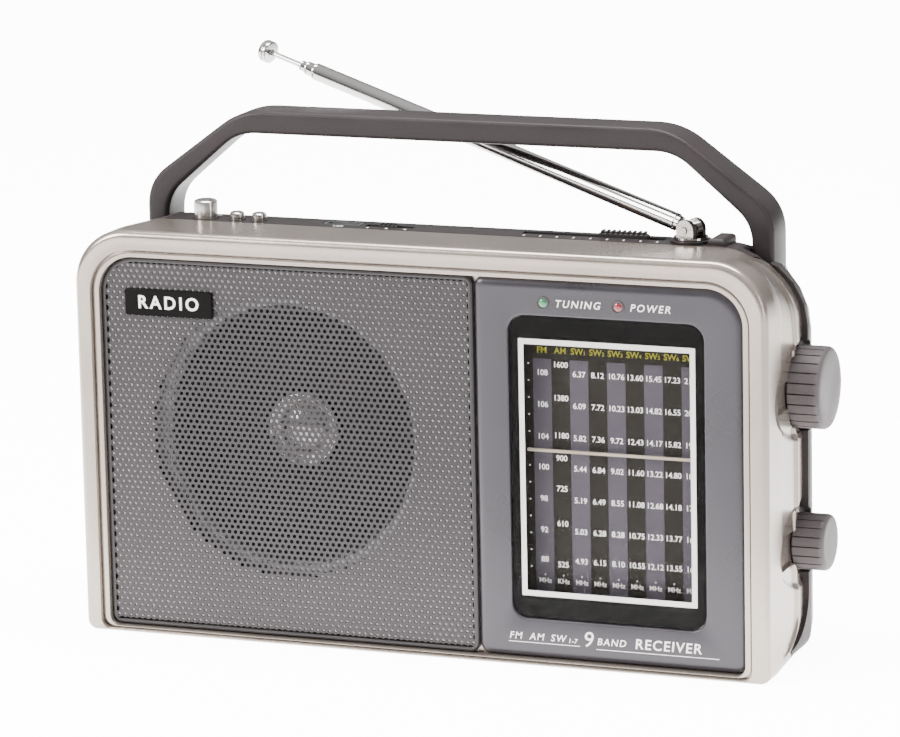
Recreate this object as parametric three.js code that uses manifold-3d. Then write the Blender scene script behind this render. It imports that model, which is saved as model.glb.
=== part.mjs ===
// A portable multi-band receiver: a silver front moulding and a dark rear moulding, a perforated speaker
// grille, a sliding-pointer dial, two side knobs, a carrying handle and a telescopic antenna.
// Millimetres. X to the right, Y to the back, Z up, with the origin under the middle of the base.
import * as THREE from "three";
import { mergeVertices } from "three/addons/utils/BufferGeometryUtils.js";
import Module from "manifold-3d";

const wasm = await Module();
wasm.setup();

// The clearance between touching pieces
const GAP = 0.3;

// Cabinet
const HALF_WIDTH = 128;
const HEIGHT = 146;
const FRONT = -35.5;
const BACK = 35.5;
const WALL = 2.4;
const FRONT_EDGE = 2.5;
const BACK_EDGE = 6;
const TAPER = 0.27;
const SIDE_TAPER_START = 13;
const TOP_TAPER_START = 4;
const TOP_CORNER = 20;
const REAR_TOP_CORNER = 28;
const BOTTOM_CORNER = 3.5;
const REAR_BOTTOM_CORNER = 7;
const CORNER_POINTS = 7;
const SEAM = GAP;
const SEAM_TOP_Y = -9.8;
const SEAM_SIDE_Y = 10.5;
const SEAM_LOW = [5.5, 21.5];
const SEAM_HIGH = [116, 143];

// Front recess with its baffle
const RECESS_HALF = 119;
const RECESS_LOW = 2.3;
const RECESS_HIGH = 136.3;
const RECESS_CORNER = 13;
const PANEL = -32.5;
const BAFFLE_FRONT = -30;
const BAFFLE_BACK = -27.6;
const SPEAKER_X = -50.1;
const SPEAKER_Z = 74;
const SPEAKER_RADIUS = 49.9;
const EAR_RING = 55.8;
const DIVIDE_X = 21.6;
const WINDOW = { left: 34.1, right: 104.7, low: 16.3, high: 123.3, corner: 5.5 };
const LAMPS = { tuning_lamp: 47.2, power_lamp: 74.3 };
const LAMP_Z = 128;
const LAMP_RADIUS = 1.75;
const SCALE_FRONT = -24.5;
const POINTER_Z = 75;
const RAIL = { x: 104.8, y: -23 };
const DRUM = { x: 66, z: 66 };

// Top controls
const STRIP = { left: -104, right: 98, front: -9.4, back: 3.5, low: 144.2 };
const POWER_BUTTON = { x: -90, y: -4.5, radius: 4.2, top: 152.8 };
const SMALL_BUTTONS = [-78, -69.5];
const SMALL_BUTTON = { y: -4.4, radius: 2.65, top: 149 };
const USB = { x: -38.2, y: -1.8, width: 13.4, depth: 5.6, height: 9.5 };
const FUNCTION_SLOT = { left: -29, right: -11, y: -3.4, half: 1.6 };
const BAND_SLOT = { left: 29, right: 81, y: -1.5, half: 1.9 };
const END_BLOCK = { left: 98.4, right: 104.4, front: -8, back: 5, top: 148.4 };

// Back and left side
const INLET = { left: -104, right: -84, low: 89, high: 103, corner: 2.7 };
const JACK = { y: 19, z: 100 };
const VENT = { count: 5, half: 34, low: 66, height: 2.4, pitch: 8 };

// Side controls
const KNOB_Y = 9;
const KNOB_FACE = 136.5;
const KNOB_INNER = 125.2;
const TUNING = { z: 95, radius: 14.4, pocket: 16.2, ribs: 24 };
const VOLUME = { z: 40.3, radius: 10, pocket: 11.8, ribs: 18 };
const POCKET_FLOOR = 124.6;
const SHAFT_RADIUS = 3;

// Handle
const PIVOT = { y: 13.5, z: 133.3 };
const LEG_INNER = 109.5;
const LEG_OUTER = 117.5;
const HANDLE_DEPTH = 16;
const HANDLE_TOP = 183.3;
const PIN_END = 119.5;
const PIN_RADIUS = 2.5;
const SLOT_GAP = { inner: 0.7, outer: 0.4 };

// Antenna
const MAST = { x: 90.8, y: -3, z: 150.4, azimuth: 162, elevation: 13.5 };
const MAST_HOLE = 3.4;
const TUBES = [
  { outer: 3.1, inner: 2.75, start: 5.2, end: 174 },
  { outer: 2.5, inner: 2.15, start: 12, end: 178 },
  { outer: 1.9, inner: 1.55, start: 15, end: 181 },
];
const ROD = { radius: 1, start: 18, end: 195.5 };
const TIP = { radius: 4.1, length: 3.5 };

// Batteries
const CELL_RADIUS = 13;
const CELL_LENGTH = 50;
const CELL_Y = 18.5;
const CELL_Z = 20.5;
const BAY = { half: 106, front: 4.9, low: 6.7, high: 34.5, wall: 2.2 };

// ---- Solids -------------------------------------------------------------------------------------------

function solid(geometry) {
  const bare = new THREE.BufferGeometry();
  const source = geometry.index ? geometry.toNonIndexed() : geometry;
  bare.setAttribute("position", source.getAttribute("position"));
  const merged = mergeVertices(bare, 1e-4);
  const vertProperties = merged.attributes.position.array;
  const triVerts = new Uint32Array(merged.index.array);
  return new wasm.Manifold(new wasm.Mesh({ numProp: 3, vertProperties, triVerts }));
}

function geometryOf(shape) {
  const mesh = shape.getMesh();
  const geometry = new THREE.BufferGeometry();
  geometry.setAttribute("position", new THREE.BufferAttribute(mesh.vertProperties, 3));
  geometry.setIndex(new THREE.BufferAttribute(mesh.triVerts, 1));
  geometry.computeVertexNormals();
  return geometry;
}

function join(first, ...others) {
  return others.reduce((whole, piece) => whole.add(piece), first);
}

function cut(first, ...others) {
  return others.reduce((whole, piece) => whole.subtract(piece), first);
}

function box(x0, x1, y0, y1, z0, z1) {
  const geometry = new THREE.BoxGeometry(x1 - x0, y1 - y0, z1 - z0);
  return solid(geometry.translate((x0 + x1) / 2, (y0 + y1) / 2, (z0 + z1) / 2));
}

// A round bar along X, Y or Z between two places on that axis, through the point (u, v) across it.
function bar(axis, radius, from, to, u, v, sides = 24) {
  const geometry = new THREE.CylinderGeometry(radius, radius, to - from, sides);
  const middle = (from + to) / 2;
  if (axis === "x") geometry.rotateZ(Math.PI / 2).translate(middle, u, v);
  if (axis === "y") geometry.translate(u, middle, v);
  if (axis === "z") geometry.rotateX(Math.PI / 2).translate(u, v, middle);
  return solid(geometry);
}

// A turned piece: the profile's points are [radius, height] from the bottom of the axis round to its top.
function turned(profile, sides = 24) {
  const points = profile.map(([radius, height]) => new THREE.Vector2(radius, height));
  return solid(new THREE.LatheGeometry(points, sides).rotateX(Math.PI / 2));
}

// An outline in X and Z, drawn out along Y.
function alongY(shape, y0, y1, bevel = 0) {
  const options = { depth: y1 - y0 - 2 * bevel, curveSegments: 4, bevelEnabled: bevel > 0 };
  options.bevelThickness = bevel;
  options.bevelSize = bevel;
  options.bevelOffset = -bevel;
  options.bevelSegments = 2;
  return solid(new THREE.ExtrudeGeometry(shape, options).rotateX(Math.PI / 2).translate(0, y1 - bevel, 0));
}

// An outline in Y and Z, drawn out along X.
function alongX(shape, x0, x1, bevel = 0) {
  const options = { depth: x1 - x0 - 2 * bevel, curveSegments: 5, bevelEnabled: bevel > 0 };
  options.bevelThickness = bevel;
  options.bevelSize = bevel;
  options.bevelOffset = -bevel;
  options.bevelSegments = 1;
  const turn = new THREE.Matrix4().makeBasis(
    new THREE.Vector3(0, 1, 0),
    new THREE.Vector3(0, 0, 1),
    new THREE.Vector3(1, 0, 0),
  );
  return solid(new THREE.ExtrudeGeometry(shape, options).applyMatrix4(turn).translate(x0 + bevel, 0, 0));
}

function roundedRect(left, right, low, high, corner, lowCorner = corner) {
  const shape = new THREE.Shape();
  shape.moveTo(left + lowCorner, low);
  shape.lineTo(right - lowCorner, low);
  shape.absarc(right - lowCorner, low + lowCorner, lowCorner, -Math.PI / 2, 0);
  shape.lineTo(right, high - corner);
  shape.absarc(right - corner, high - corner, corner, 0, Math.PI / 2);
  shape.lineTo(left + corner, high);
  shape.absarc(left + corner, high - corner, corner, Math.PI / 2, Math.PI);
  shape.lineTo(left, low + lowCorner);
  shape.absarc(left + lowCorner, low + lowCorner, lowCorner, Math.PI, 1.5 * Math.PI);
  return shape;
}

const root = new THREE.Group();

function addNode(name, shape, color, roughness = 0.5, metalness = 0, parent = root) {
  const material = new THREE.MeshStandardMaterial({ color, roughness, metalness });
  const mesh = new THREE.Mesh(shape.isBufferGeometry ? shape : geometryOf(shape), material);
  mesh.name = name;
  parent.add(mesh);
  return mesh;
}

const SILVER = 0xb4aba3;
const BROWN = 0x4f4747;
const KNOB_GREY = 0x7e7577;
const PANEL_GREY = 0x716b73;
const STEEL = 0xb9babc;
const BLACK = 0x1a1817;

// ---- Cabinet ------------------------------------------------------------------------------------------

function quarterEase(share) {
  return 1 - Math.sqrt(1 - share * share);
}

// One ring of the cabinet's skin: how far its sides, top and base stand in at depth y, and its corners.
function ringAt(y, wall) {
  const frontShare = Math.max(0, (FRONT + FRONT_EDGE - y) / FRONT_EDGE);
  const backShare = Math.max(0, (y - (BACK - BACK_EDGE)) / BACK_EDGE);
  const edge = FRONT_EDGE * quarterEase(frontShare) + BACK_EDGE * quarterEase(backShare);
  const side = edge + wall + TAPER * Math.max(0, y - SIDE_TAPER_START);
  const top = edge + wall + TAPER * Math.max(0, y - TOP_TAPER_START);
  const growth = Math.min(1, Math.max(0, (y + 24) / 24));
  const corner = TOP_CORNER + (REAR_TOP_CORNER - TOP_CORNER) * growth - wall;
  const lowCorner = BOTTOM_CORNER + (REAR_BOTTOM_CORNER - BOTTOM_CORNER) * growth;
  const reach = HALF_WIDTH - side;
  const corners = [
    [reach - lowCorner, edge + wall + lowCorner, lowCorner, -0.5],
    [reach - corner, HEIGHT - top - corner, corner, 0],
    [corner - reach, HEIGHT - top - corner, corner, 0.5],
    [lowCorner - reach, edge + wall + lowCorner, lowCorner, 1],
  ];
  return corners.flatMap(([x, z, radius, start]) =>
    Array.from({ length: CORNER_POINTS }, (_, i) => {
      const angle = Math.PI * (start + (0.5 * i) / (CORNER_POINTS - 1));
      return new THREE.Vector2(x + radius * Math.cos(angle), z + radius * Math.sin(angle));
    }),
  );
}

// The skin joins rings of equal count, and a flat cap closes each end.
function cabinetSkin(depths, wall) {
  const rings = depths.map(([depth, source]) => [depth, ringAt(source, wall)]);
  const count = rings[0][1].length;
  const vertices = rings.flatMap(([depth, ring]) => ring.flatMap((point) => [point.x, depth, point.y]));
  const index = [];
  for (let r = 0; r + 1 < rings.length; r += 1) {
    for (let i = 0; i < count; i += 1) {
      const next = (i + 1) % count;
      const [a, b] = [r * count + i, r * count + next];
      index.push(a, b + count, b, a, a + count, b + count);
    }
  }
  const last = (rings.length - 1) * count;
  THREE.ShapeUtils.triangulateShape(rings[0][1], []).forEach(([a, b, c]) => index.push(a, b, c));
  THREE.ShapeUtils.triangulateShape(rings.at(-1)[1], []).forEach(([a, b, c]) => {
    index.push(last + a, last + c, last + b);
  });
  const geometry = new THREE.BufferGeometry();
  geometry.setAttribute("position", new THREE.Float32BufferAttribute(vertices, 3));
  geometry.setIndex(index);
  return solid(geometry);
}

// Everything in front of the seam between the two mouldings, or behind it when front is false.
function seamSide(front) {
  const shift = front ? -SEAM / 2 : SEAM / 2;
  const reach = front ? -60 : 60;
  const shape = new THREE.Shape();
  const sweep = SEAM_SIDE_Y - SEAM_TOP_Y;
  shape.moveTo(reach, -10);
  shape.lineTo(SEAM_TOP_Y + shift, -10);
  shape.lineTo(SEAM_TOP_Y + shift, SEAM_LOW[0]);
  const lowRise = SEAM_LOW[1] - SEAM_LOW[0];
  shape.absellipse(SEAM_TOP_Y + shift, SEAM_LOW[1], sweep, lowRise, -Math.PI / 2, 0);
  shape.lineTo(SEAM_SIDE_Y + shift, SEAM_HIGH[0]);
  const highRise = SEAM_HIGH[1] - SEAM_HIGH[0];
  shape.absellipse(SEAM_TOP_Y + shift, SEAM_HIGH[0], sweep, highRise, 0, Math.PI / 2);
  shape.lineTo(SEAM_TOP_Y + shift, 200);
  shape.lineTo(reach, 200);
  return alongX(shape, -140, 140);
}

const OUTER_DEPTHS = [FRONT, -35, -34, -33, -24, 0, 4, 13, 24, 29.5, 32.5, 34.5, BACK].map((y) => [y, y]);
const INNER_DEPTHS = [
  [BAFFLE_BACK, BAFFLE_BACK],
  [0, 0],
  [4, 4],
  [13, 13],
  [29.5, 29.5],
  [BACK - WALL, 32],
];
const outerSkin = cabinetSkin(OUTER_DEPTHS, 0);
const innerSkin = cabinetSkin(INNER_DEPTHS, WALL);

const POSTS = [
  [-98, 127],
  [98, 127],
  [-112, 66],
  [112, 66],
];
const SPEAKER_EARS = [135, 315].map((degrees) => {
  const angle = THREE.MathUtils.degToRad(degrees);
  return [SPEAKER_X + EAR_RING * Math.cos(angle), SPEAKER_Z + EAR_RING * Math.sin(angle)];
});

// The round pockets that the side knobs sit in, and the holes for their shafts.
function knobPockets() {
  return [TUNING, VOLUME].flatMap((knob) => [
    bar("x", knob.pocket, POCKET_FLOOR, 140, KNOB_Y, knob.z, 28),
    bar("x", SHAFT_RADIUS + 0.6, 115, 140, KNOB_Y, knob.z),
  ]);
}

function knobPocketFloors() {
  return [TUNING, VOLUME].map((knob) =>
    bar("x", knob.pocket + 2, POCKET_FLOOR - WALL, HALF_WIDTH - 1, KNOB_Y, knob.z, 28).intersect(outerSkin),
  );
}

function frontCabinet() {
  const recess = alongY(
    roundedRect(-RECESS_HALF, RECESS_HALF, RECESS_LOW, RECESS_HIGH, RECESS_CORNER, 3.5),
    FRONT - 2,
    BAFFLE_FRONT,
  );
  const speakerHole = bar("y", SPEAKER_RADIUS, -40, -20, SPEAKER_X, SPEAKER_Z, 40);
  const dialHole = box(WINDOW.left + 2, WINDOW.right - 2, -40, -20, WINDOW.low + 2, WINDOW.high - 2);
  const lampHoles = Object.values(LAMPS).map((x) => bar("y", LAMP_RADIUS + GAP, -40, -20, x, LAMP_Z, 12));
  const posts = POSTS.map(([x, z]) => bar("y", 4, -28, 11.7, x, z, 10));
  const postHoles = POSTS.map(([x, z]) => bar("y", 1.8, 0, 12, x, z, 8));
  const screwHoles = SPEAKER_EARS.map(([x, z]) => bar("y", 1.4, -29.4, -27, x, z, 8));
  const shell = join(outerSkin.subtract(innerSkin), ...posts, ...knobPocketFloors());
  const holes = [recess, speakerHole, dialHole, ...lampHoles, ...postHoles, ...screwHoles, ...knobPockets()];
  return cut(shell, ...holes).intersect(seamSide(true).add(box(-112, 112, -30, 11.7, 55, 130)));
}

// Slots that let the handle's legs stand and lean in the shoulders.
function handleSlots() {
  return [-1, 1].map((side) => {
    const [a, b] = [side * (LEG_INNER - SLOT_GAP.inner), side * (LEG_OUTER + SLOT_GAP.outer)];
    return box(Math.min(a, b), Math.max(a, b), -2, PIVOT.y + 8.7, PIVOT.z - 8.7, 160);
  });
}

function handlePockets() {
  return [-1, 1].map((side) => {
    const [a, b] = [side * (LEG_INNER - 2.8), side * (LEG_OUTER + 2.8)];
    return box(Math.min(a, b), Math.max(a, b), -4.4, PIVOT.y + 11, PIVOT.z - 11, 160);
  });
}

function rearCabinet() {
  const bayReach = BAY.half + BAY.wall;
  const bayOuter = box(-bayReach, bayReach, BAY.front - BAY.wall, 34, 1, BAY.high + BAY.wall);
  const bayInner = box(-BAY.half, BAY.half, BAY.front, 40, BAY.low, BAY.high);
  const block = END_BLOCK;
  const blockSide = roundedRect(block.front, block.back, 140, block.top, 1.5, 0.5);
  const blockFace = roundedRect(block.left, block.right, 130, block.top, 1.6, 0.5);
  const endBlock = alongX(blockSide, block.left, block.right).intersect(
    alongY(blockFace, block.front - 1, block.back + 1),
  );
  const bosses = POSTS.map(([x, z]) => bar("y", 4.6, 12.1, 34, x, z, 12));
  const clearances = POSTS.map(([x, z]) => bar("y", 1.9, 10, 40, x, z, 8));
  const counterbores = POSTS.map(([x, z]) => bar("y", 3.7, 24, 40, x, z, 12));
  const stripRecess = box(STRIP.left - GAP, STRIP.right + GAP, -12, STRIP.back + GAP, STRIP.low - GAP, 146.01);
  const stripWindow = box(STRIP.left + 4, 84, STRIP.front + 0.5, STRIP.back - 1, 138, 150);
  const mastHole = bar("z", MAST_HOLE, 130, 150, MAST.x, MAST.y);
  const inletShape = roundedRect(
    INLET.left - GAP,
    INLET.right + GAP,
    INLET.low - GAP,
    INLET.high + GAP,
    INLET.corner + GAP,
  );
  const inletHole = alongY(inletShape, 30, 40);
  const jackHole = bar("x", 4 + GAP, -140, -118, JACK.y, JACK.z, 20);
  const vents = Array.from({ length: VENT.count }, (_, row) => {
    const low = VENT.low + row * VENT.pitch;
    return box(-VENT.half, VENT.half, 28, 40, low, low + VENT.height);
  });
  const pinHoles = [-1, 1].map((side) => {
    const ends = [side * 104, side * (PIN_END + 0.8)];
    return bar("x", PIN_RADIUS + GAP, Math.min(...ends), Math.max(...ends), PIVOT.y, PIVOT.z, 20);
  });
  const inside = join(bayOuter, ...bosses, ...handlePockets(), ...knobPocketFloors());
  const shell = outerSkin.subtract(innerSkin).add(inside.intersect(outerSkin)).add(endBlock);
  const holes = [bayInner, stripRecess, stripWindow, mastHole, inletHole, jackHole, ...vents];
  const body = cut(shell, ...holes, ...clearances, ...counterbores, ...pinHoles);
  return cut(body, ...handleSlots(), ...knobPockets()).intersect(seamSide(false));
}

function buildCabinet() {
  addNode("front_cabinet", frontCabinet(), SILVER, 0.4, 0.3);
  addNode("rear_cabinet", rearCabinet(), BROWN, 0.6);
  POSTS.forEach(([x, z], i) => {
    const screw = join(bar("y", 3.2, 24.3, 26.6, x, z, 12), bar("y", 1.5, 2, 24.4, x, z, 10));
    const across = box(x - 2, x + 2, 25.7, 28, z - 0.4, z + 0.4);
    const slot = across.add(box(x - 0.4, x + 0.4, 25.7, 28, z - 2, z + 2));
    addNode(`case_screw_${i + 1}`, screw.subtract(slot), STEEL, 0.4, 1);
  });
}

// ---- Front ----------------------------------------------------------------------------------------------

function buildFront() {
  const [low, high, far] = [RECESS_LOW + GAP, RECESS_HIGH - GAP, RECESS_HALF - GAP];
  const panelBack = BAFFLE_FRONT - GAP;
  const grilleFace = roundedRect(-far, DIVIDE_X - 0.2, low, high, 3.2);
  const grilleInside = roundedRect(1 - far, DIVIDE_X - 1.2, low + 1, high - 1, 2.4);
  const corner = roundedRect(-far, 60, low, high, RECESS_CORNER - GAP, 3.2);
  const innerCorner = roundedRect(1 - far, 60, RECESS_LOW, high - 1, RECESS_CORNER - 1.3, 2.4);
  const tray = alongY(grilleFace, PANEL, panelBack).intersect(alongY(corner, PANEL, panelBack));
  const hollow = alongY(grilleInside, PANEL + 0.8, -20).intersect(alongY(innerCorner, PANEL + 0.8, -20));
  addNode("speaker_grille", tray.subtract(hollow), 0x5a5356, 0.45, 0.8);

  const badge = alongY(roundedRect(-109.1, -75.9, 115.6, 125, 0.5), PANEL - 1.3, PANEL - GAP);
  addNode("badge_plate", badge, BLACK, 0.25);

  const left = DIVIDE_X + 0.2;
  const panelFace = roundedRect(left, far, low, high, 3);
  const panelCorner = roundedRect(-60, far, low, high, RECESS_CORNER - GAP, 3.2);
  const panelBody = alongY(panelFace, PANEL, panelBack).intersect(alongY(panelCorner, PANEL, panelBack));
  const opening = roundedRect(WINDOW.left, WINDOW.right, WINDOW.low, WINDOW.high, WINDOW.corner);
  const lampHoles = Object.values(LAMPS).map((x) => bar("y", LAMP_RADIUS + 0.25, -40, -20, x, LAMP_Z, 12));
  addNode("dial_panel", cut(panelBody, alongY(opening, -40, -20), ...lampHoles), PANEL_GREY, 0.55);

  const lens = roundedRect(
    WINDOW.left + GAP,
    WINDOW.right - GAP,
    WINDOW.low + GAP,
    WINDOW.high - GAP,
    WINDOW.corner - GAP,
  );
  addNode("dial_window", alongY(lens, -31.9, panelBack), 0x2a2828, 0.1);
  const scale = box(36.4, 101.4, SCALE_FRONT, SCALE_FRONT + 1, 17, 122);
  addNode("dial_scale", scale, 0x3a3634, 0.6);

  Object.entries(LAMPS).forEach(([name, x]) => {
    const profile = [[0, 0], [LAMP_RADIUS, 0], [LAMP_RADIUS, 6.2], [1.2, 7.4], [0, 7.8]];
    const lamp = turned(profile, 16).rotate([90, 0, 0]).translate([x, -25.2, LAMP_Z]);
    addNode(name, lamp, name === "tuning_lamp" ? 0x2f5a3a : 0x5a1f24, 0.2);
  });
}

function buildSpeaker() {
  const place = (shape) => shape.rotate([90, 0, 0]).translate([SPEAKER_X, 0, SPEAKER_Z]);
  const basketProfile = [
    [21.5, 4.6],
    [21.5, 6],
    [24, 6],
    [48, 24.9],
    [52.4, 24.9],
    [52.4, 27.1],
    [47.2, 27.1],
    [23, 7.8],
    [14.6, 7.8],
    [14.6, 4.6],
    [21.5, 4.6],
  ];
  const basket = place(turned(basketProfile, 24));
  const ears = SPEAKER_EARS.map(([x, z]) => bar("y", 5.5, -27.1, -24.9, x, z, 16));
  const holes = SPEAKER_EARS.map(([x, z]) => bar("y", 1.7, -30, -20, x, z, 12));
  addNode("speaker_basket", cut(join(basket, ...ears), ...holes), 0x8d8f92, 0.45, 0.9);
  const coneProfile = [[13.2, 12.4], [45.6, 26.4], [45.6, 27.1], [12.2, 13.0], [12.2, 12.4], [13.2, 12.4]];
  addNode("speaker_cone", place(turned(coneProfile, 24)), 0x1d1b1a, 0.9);
  const capProfile = [[0, 18.2], [6, 17.6], [10.5, 15.9], [13.4, 13.8], [13.7, 14.2], [10.8, 16.5], [6, 18.3]];
  addNode("speaker_dust_cap", place(turned([...capProfile, [0, 19]], 20)), 0x77787a, 0.3, 0.5);
  const magnet = [[0, -8], [25, -8], [25, 4.2], [14, 4.2], [14, 7], [11.6, 7], [11.6, 11.6], [0, 11.6]];
  addNode("speaker_magnet", place(turned(magnet, 20)), 0x3b3b3d, 0.6, 0.6);
  SPEAKER_EARS.forEach(([x, z], i) => {
    const screw = join(bar("y", 2.8, -24.6, -22.8, x, z, 12), bar("y", 1.1, -29, -24.5, x, z, 10));
    addNode(`speaker_screw_${i + 1}`, screw, STEEL, 0.4, 1);
  });
}

// ---- Tuning, volume and the circuit board ---------------------------------------------------------------

// A round knob with flat ribs and narrow grooves between them, and a bore for its shaft.
function ribbedKnob(knob) {
  const outline = new THREE.Shape();
  const grooveDepth = 0.7;
  for (let rib = 0; rib < knob.ribs; rib += 1) {
    const start = (rib / knob.ribs) * 2 * Math.PI;
    const step = (2 * Math.PI) / knob.ribs;
    const marks = [
      [0.1, knob.radius],
      [0.9, knob.radius],
      [0.95, knob.radius - grooveDepth],
      [1.05, knob.radius - grooveDepth],
    ];
    marks.forEach(([share, radius], i) => {
      const angle = start + share * step;
      const point = [radius * Math.cos(angle), radius * Math.sin(angle)];
      if (rib + i === 0) outline.moveTo(...point);
      else outline.lineTo(...point);
    });
  }
  const body = alongX(outline, KNOB_INNER, KNOB_FACE, 1.2);
  return body.subtract(bar("x", SHAFT_RADIUS + GAP, 120, 132.3, 0, 0)).translate([0, KNOB_Y, knob.z]);
}

function buildTuning() {
  addNode("tuning_knob", ribbedKnob(TUNING), KNOB_GREY, 0.55);
  const pulley = join(
    bar("x", SHAFT_RADIUS, 106, 132, KNOB_Y, TUNING.z),
    bar("x", 5.6, 106, 107, KNOB_Y, TUNING.z),
    bar("x", 5, 106.9, 109.1, KNOB_Y, TUNING.z),
    bar("x", 5.6, 109, 110, KNOB_Y, TUNING.z),
  );
  addNode("tuning_shaft", pulley, STEEL, 0.35, 1);
  const bushing = join(
    bar("x", 4.6, 112, 121.9, KNOB_Y, TUNING.z),
    bar("x", 7, 119.6, 121.9, KNOB_Y, TUNING.z),
  ).subtract(bar("x", SHAFT_RADIUS + GAP, 110, 123, KNOB_Y, TUNING.z));
  addNode("tuning_bushing", bushing, 0xc9b074, 0.4, 1);

  const board = box(28, 100, -6, -4.4, 12, 112).subtract(bar("y", 3.4, -8, -2, DRUM.x, DRUM.z));
  addNode("circuit_board", board, 0x9a6a3c, 0.7);
  addNode("tuning_capacitor", box(DRUM.x - 10, DRUM.x + 10, -4.1, 9.5, DRUM.z - 10, DRUM.z + 10), 0xd8d4c8, 0.4);
  const groove = [[18, 12.8], [16.6, 13.4], [18, 14]];
  const drum = [[0, 4.7], [3, 4.7], [3, 12], [18, 12], ...groove, [18, 14.8], [0, 14.8]];
  const drumSolid = turned(drum, 24).rotate([90, 0, 0]).translate([DRUM.x, 0, DRUM.z]);
  const windows = [0, 1, 2].map((third) => {
    const angle = (third / 3) * 2 * Math.PI;
    const [x, z] = [DRUM.x + 10 * Math.cos(angle), DRUM.z + 10 * Math.sin(angle)];
    return bar("y", 4, -20, -8, x, z, 16);
  });
  addNode("drive_drum", cut(drumSolid, ...windows), 0xe3ded2, 0.5);

  const needle = box(38.6, 103, -26.9, -26.1, POINTER_Z - 0.5, POINTER_Z + 0.5);
  const carriage = box(102.4, 107.2, -26.9, -20.8, POINTER_Z - 3, POINTER_Z + 3);
  const pointer = needle.add(carriage).subtract(bar("z", 1.2, 60, 90, RAIL.x, RAIL.y, 12));
  addNode("dial_pointer", pointer, 0x9a8b74, 0.5);
  addNode("pointer_rail", bar("z", 0.8, 20, 126, RAIL.x, RAIL.y, 12), STEEL, 0.3, 1);
}

function buildVolume() {
  addNode("volume_knob", ribbedKnob(VOLUME), KNOB_GREY, 0.55);
  addNode("volume_shaft", bar("x", SHAFT_RADIUS, 112.4, 132, KNOB_Y, VOLUME.z), STEEL, 0.35, 1);
  const control = join(
    bar("x", 8.5, 109, 117, KNOB_Y, VOLUME.z),
    bar("x", 4.6, 116.9, 121.9, KNOB_Y, VOLUME.z),
    box(109, 111, KNOB_Y - 12, KNOB_Y, VOLUME.z - 6, VOLUME.z + 6),
  ).subtract(bar("x", SHAFT_RADIUS + GAP, 112, 125, KNOB_Y, VOLUME.z));
  addNode("volume_control", control, 0xa9a69c, 0.4, 0.8);
}

// ---- Power ----------------------------------------------------------------------------------------------

function coilSpring() {
  const turns = 3;
  const points = [];
  for (let i = 0; i <= turns * 10; i += 1) {
    const angle = (i / 10) * 2 * Math.PI;
    const radius = 5.5 - (i / (turns * 10)) * 2.5;
    const reach = (i / (turns * 10)) * 3.2;
    points.push(new THREE.Vector3(reach, radius * Math.cos(angle), radius * Math.sin(angle)));
  }
  const section = new THREE.Shape().absarc(0, 0, 0.4, 0, 2 * Math.PI);
  const path = new THREE.CatmullRomCurve3(points);
  const wire = new THREE.ExtrudeGeometry(section, { steps: 30, extrudePath: path, curveSegments: 3 });
  return solid(wire.translate(-104.6, CELL_Y, CELL_Z));
}

function buildPower() {
  const span = CELL_LENGTH + GAP;
  for (let i = 0; i < 4; i += 1) {
    const left = (i - 2) * span + 0.15;
    const cell = join(
      bar("x", CELL_RADIUS, left, left + CELL_LENGTH - 1.6, CELL_Y, CELL_Z, 20),
      bar("x", 3.2, left + CELL_LENGTH - 1.7, left + CELL_LENGTH, CELL_Y, CELL_Z, 10),
    );
    addNode(`battery_cell_${i + 1}`, cell, 0x6f7478, 0.4, 0.3);
  }
  addNode("battery_spring", coilSpring(), STEEL, 0.3, 1);
  addNode("battery_contact", box(104.6, 105.6, 11, 26, 12, 29), STEEL, 0.3, 1);
  const door = box(-BAY.half + GAP, BAY.half - GAP, 33.4, BACK, BAY.low + GAP, BAY.high - GAP);
  const thumb = alongY(roundedRect(-9, 9, 27.5, 31.5, 1.8), BACK - 0.8, 40);
  addNode("battery_door", door.subtract(thumb), BROWN, 0.6);

  const { left, right, low, high, corner } = INLET;
  const flange = alongY(roundedRect(left, right, low, high, corner), 22, BACK);
  const socket = alongY(roundedRect(left + 1.8, right - 1.8, low + 2.2, high - 2.2, 4.6), 24.5, 40);
  const pins = [left + 6, right - 6].map((x) => bar("y", 1.2, 24, 33, x, (low + high) / 2, 10));
  addNode("mains_inlet", join(cut(flange, socket), ...pins), BLACK, 0.5);
  const core = box(6, 36, 6, 30, 46, 72);
  addNode("power_transformer", core.add(box(12, 30, 2, 32.6, 42, 76)), 0x5c5a58, 0.5, 0.5);
  const jack = join(
    bar("x", 4, -126.9, -121, JACK.y, JACK.z, 20),
    box(-121.1, -110, JACK.y - 5, JACK.y + 5, JACK.z - 5, JACK.z + 5),
  ).subtract(bar("x", 1.8, -130, -112, JACK.y, JACK.z, 12));
  addNode("earphone_jack", jack, BLACK, 0.4);
  addNode("ferrite_rod", bar("x", 4.5, -70, 50, 20, 128, 20), 0x2b2a2a, 0.7);
  const winding = bar("x", 7, 4, 34, 20, 128, 24).subtract(bar("x", 4.8, 0, 40, 20, 128, 24));
  addNode("ferrite_coil", winding, 0xb06a32, 0.5, 0.6);
}

// ---- Top controls -----------------------------------------------------------------------------------------

// A domed push button with a flange under the panel that keeps it in.
function button({ radius, top }) {
  const dome = Math.min(1.2, radius * 0.35);
  const profile = [
    [0, 140.8],
    [radius, 140.8],
    [radius, top - dome],
    [radius * 0.8, top - dome * 0.35],
    [0, top],
  ];
  const flange = box(-radius - 1.2, radius + 1.2, 0.4 - radius, radius - 0.4, 140.8, 141.6);
  return turned(profile, 20).add(flange);
}

function ridges(x0, x1, y0, y1, z0, z1, pitch) {
  const count = Math.floor((x1 - x0) / pitch);
  const ribs = [];
  for (let i = 0; i < count; i += 1) {
    const left = x0 + (i + 0.25) * pitch;
    ribs.push(box(left, left + pitch * 0.5, y0, y1, z0, z1));
  }
  return ribs;
}

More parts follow.
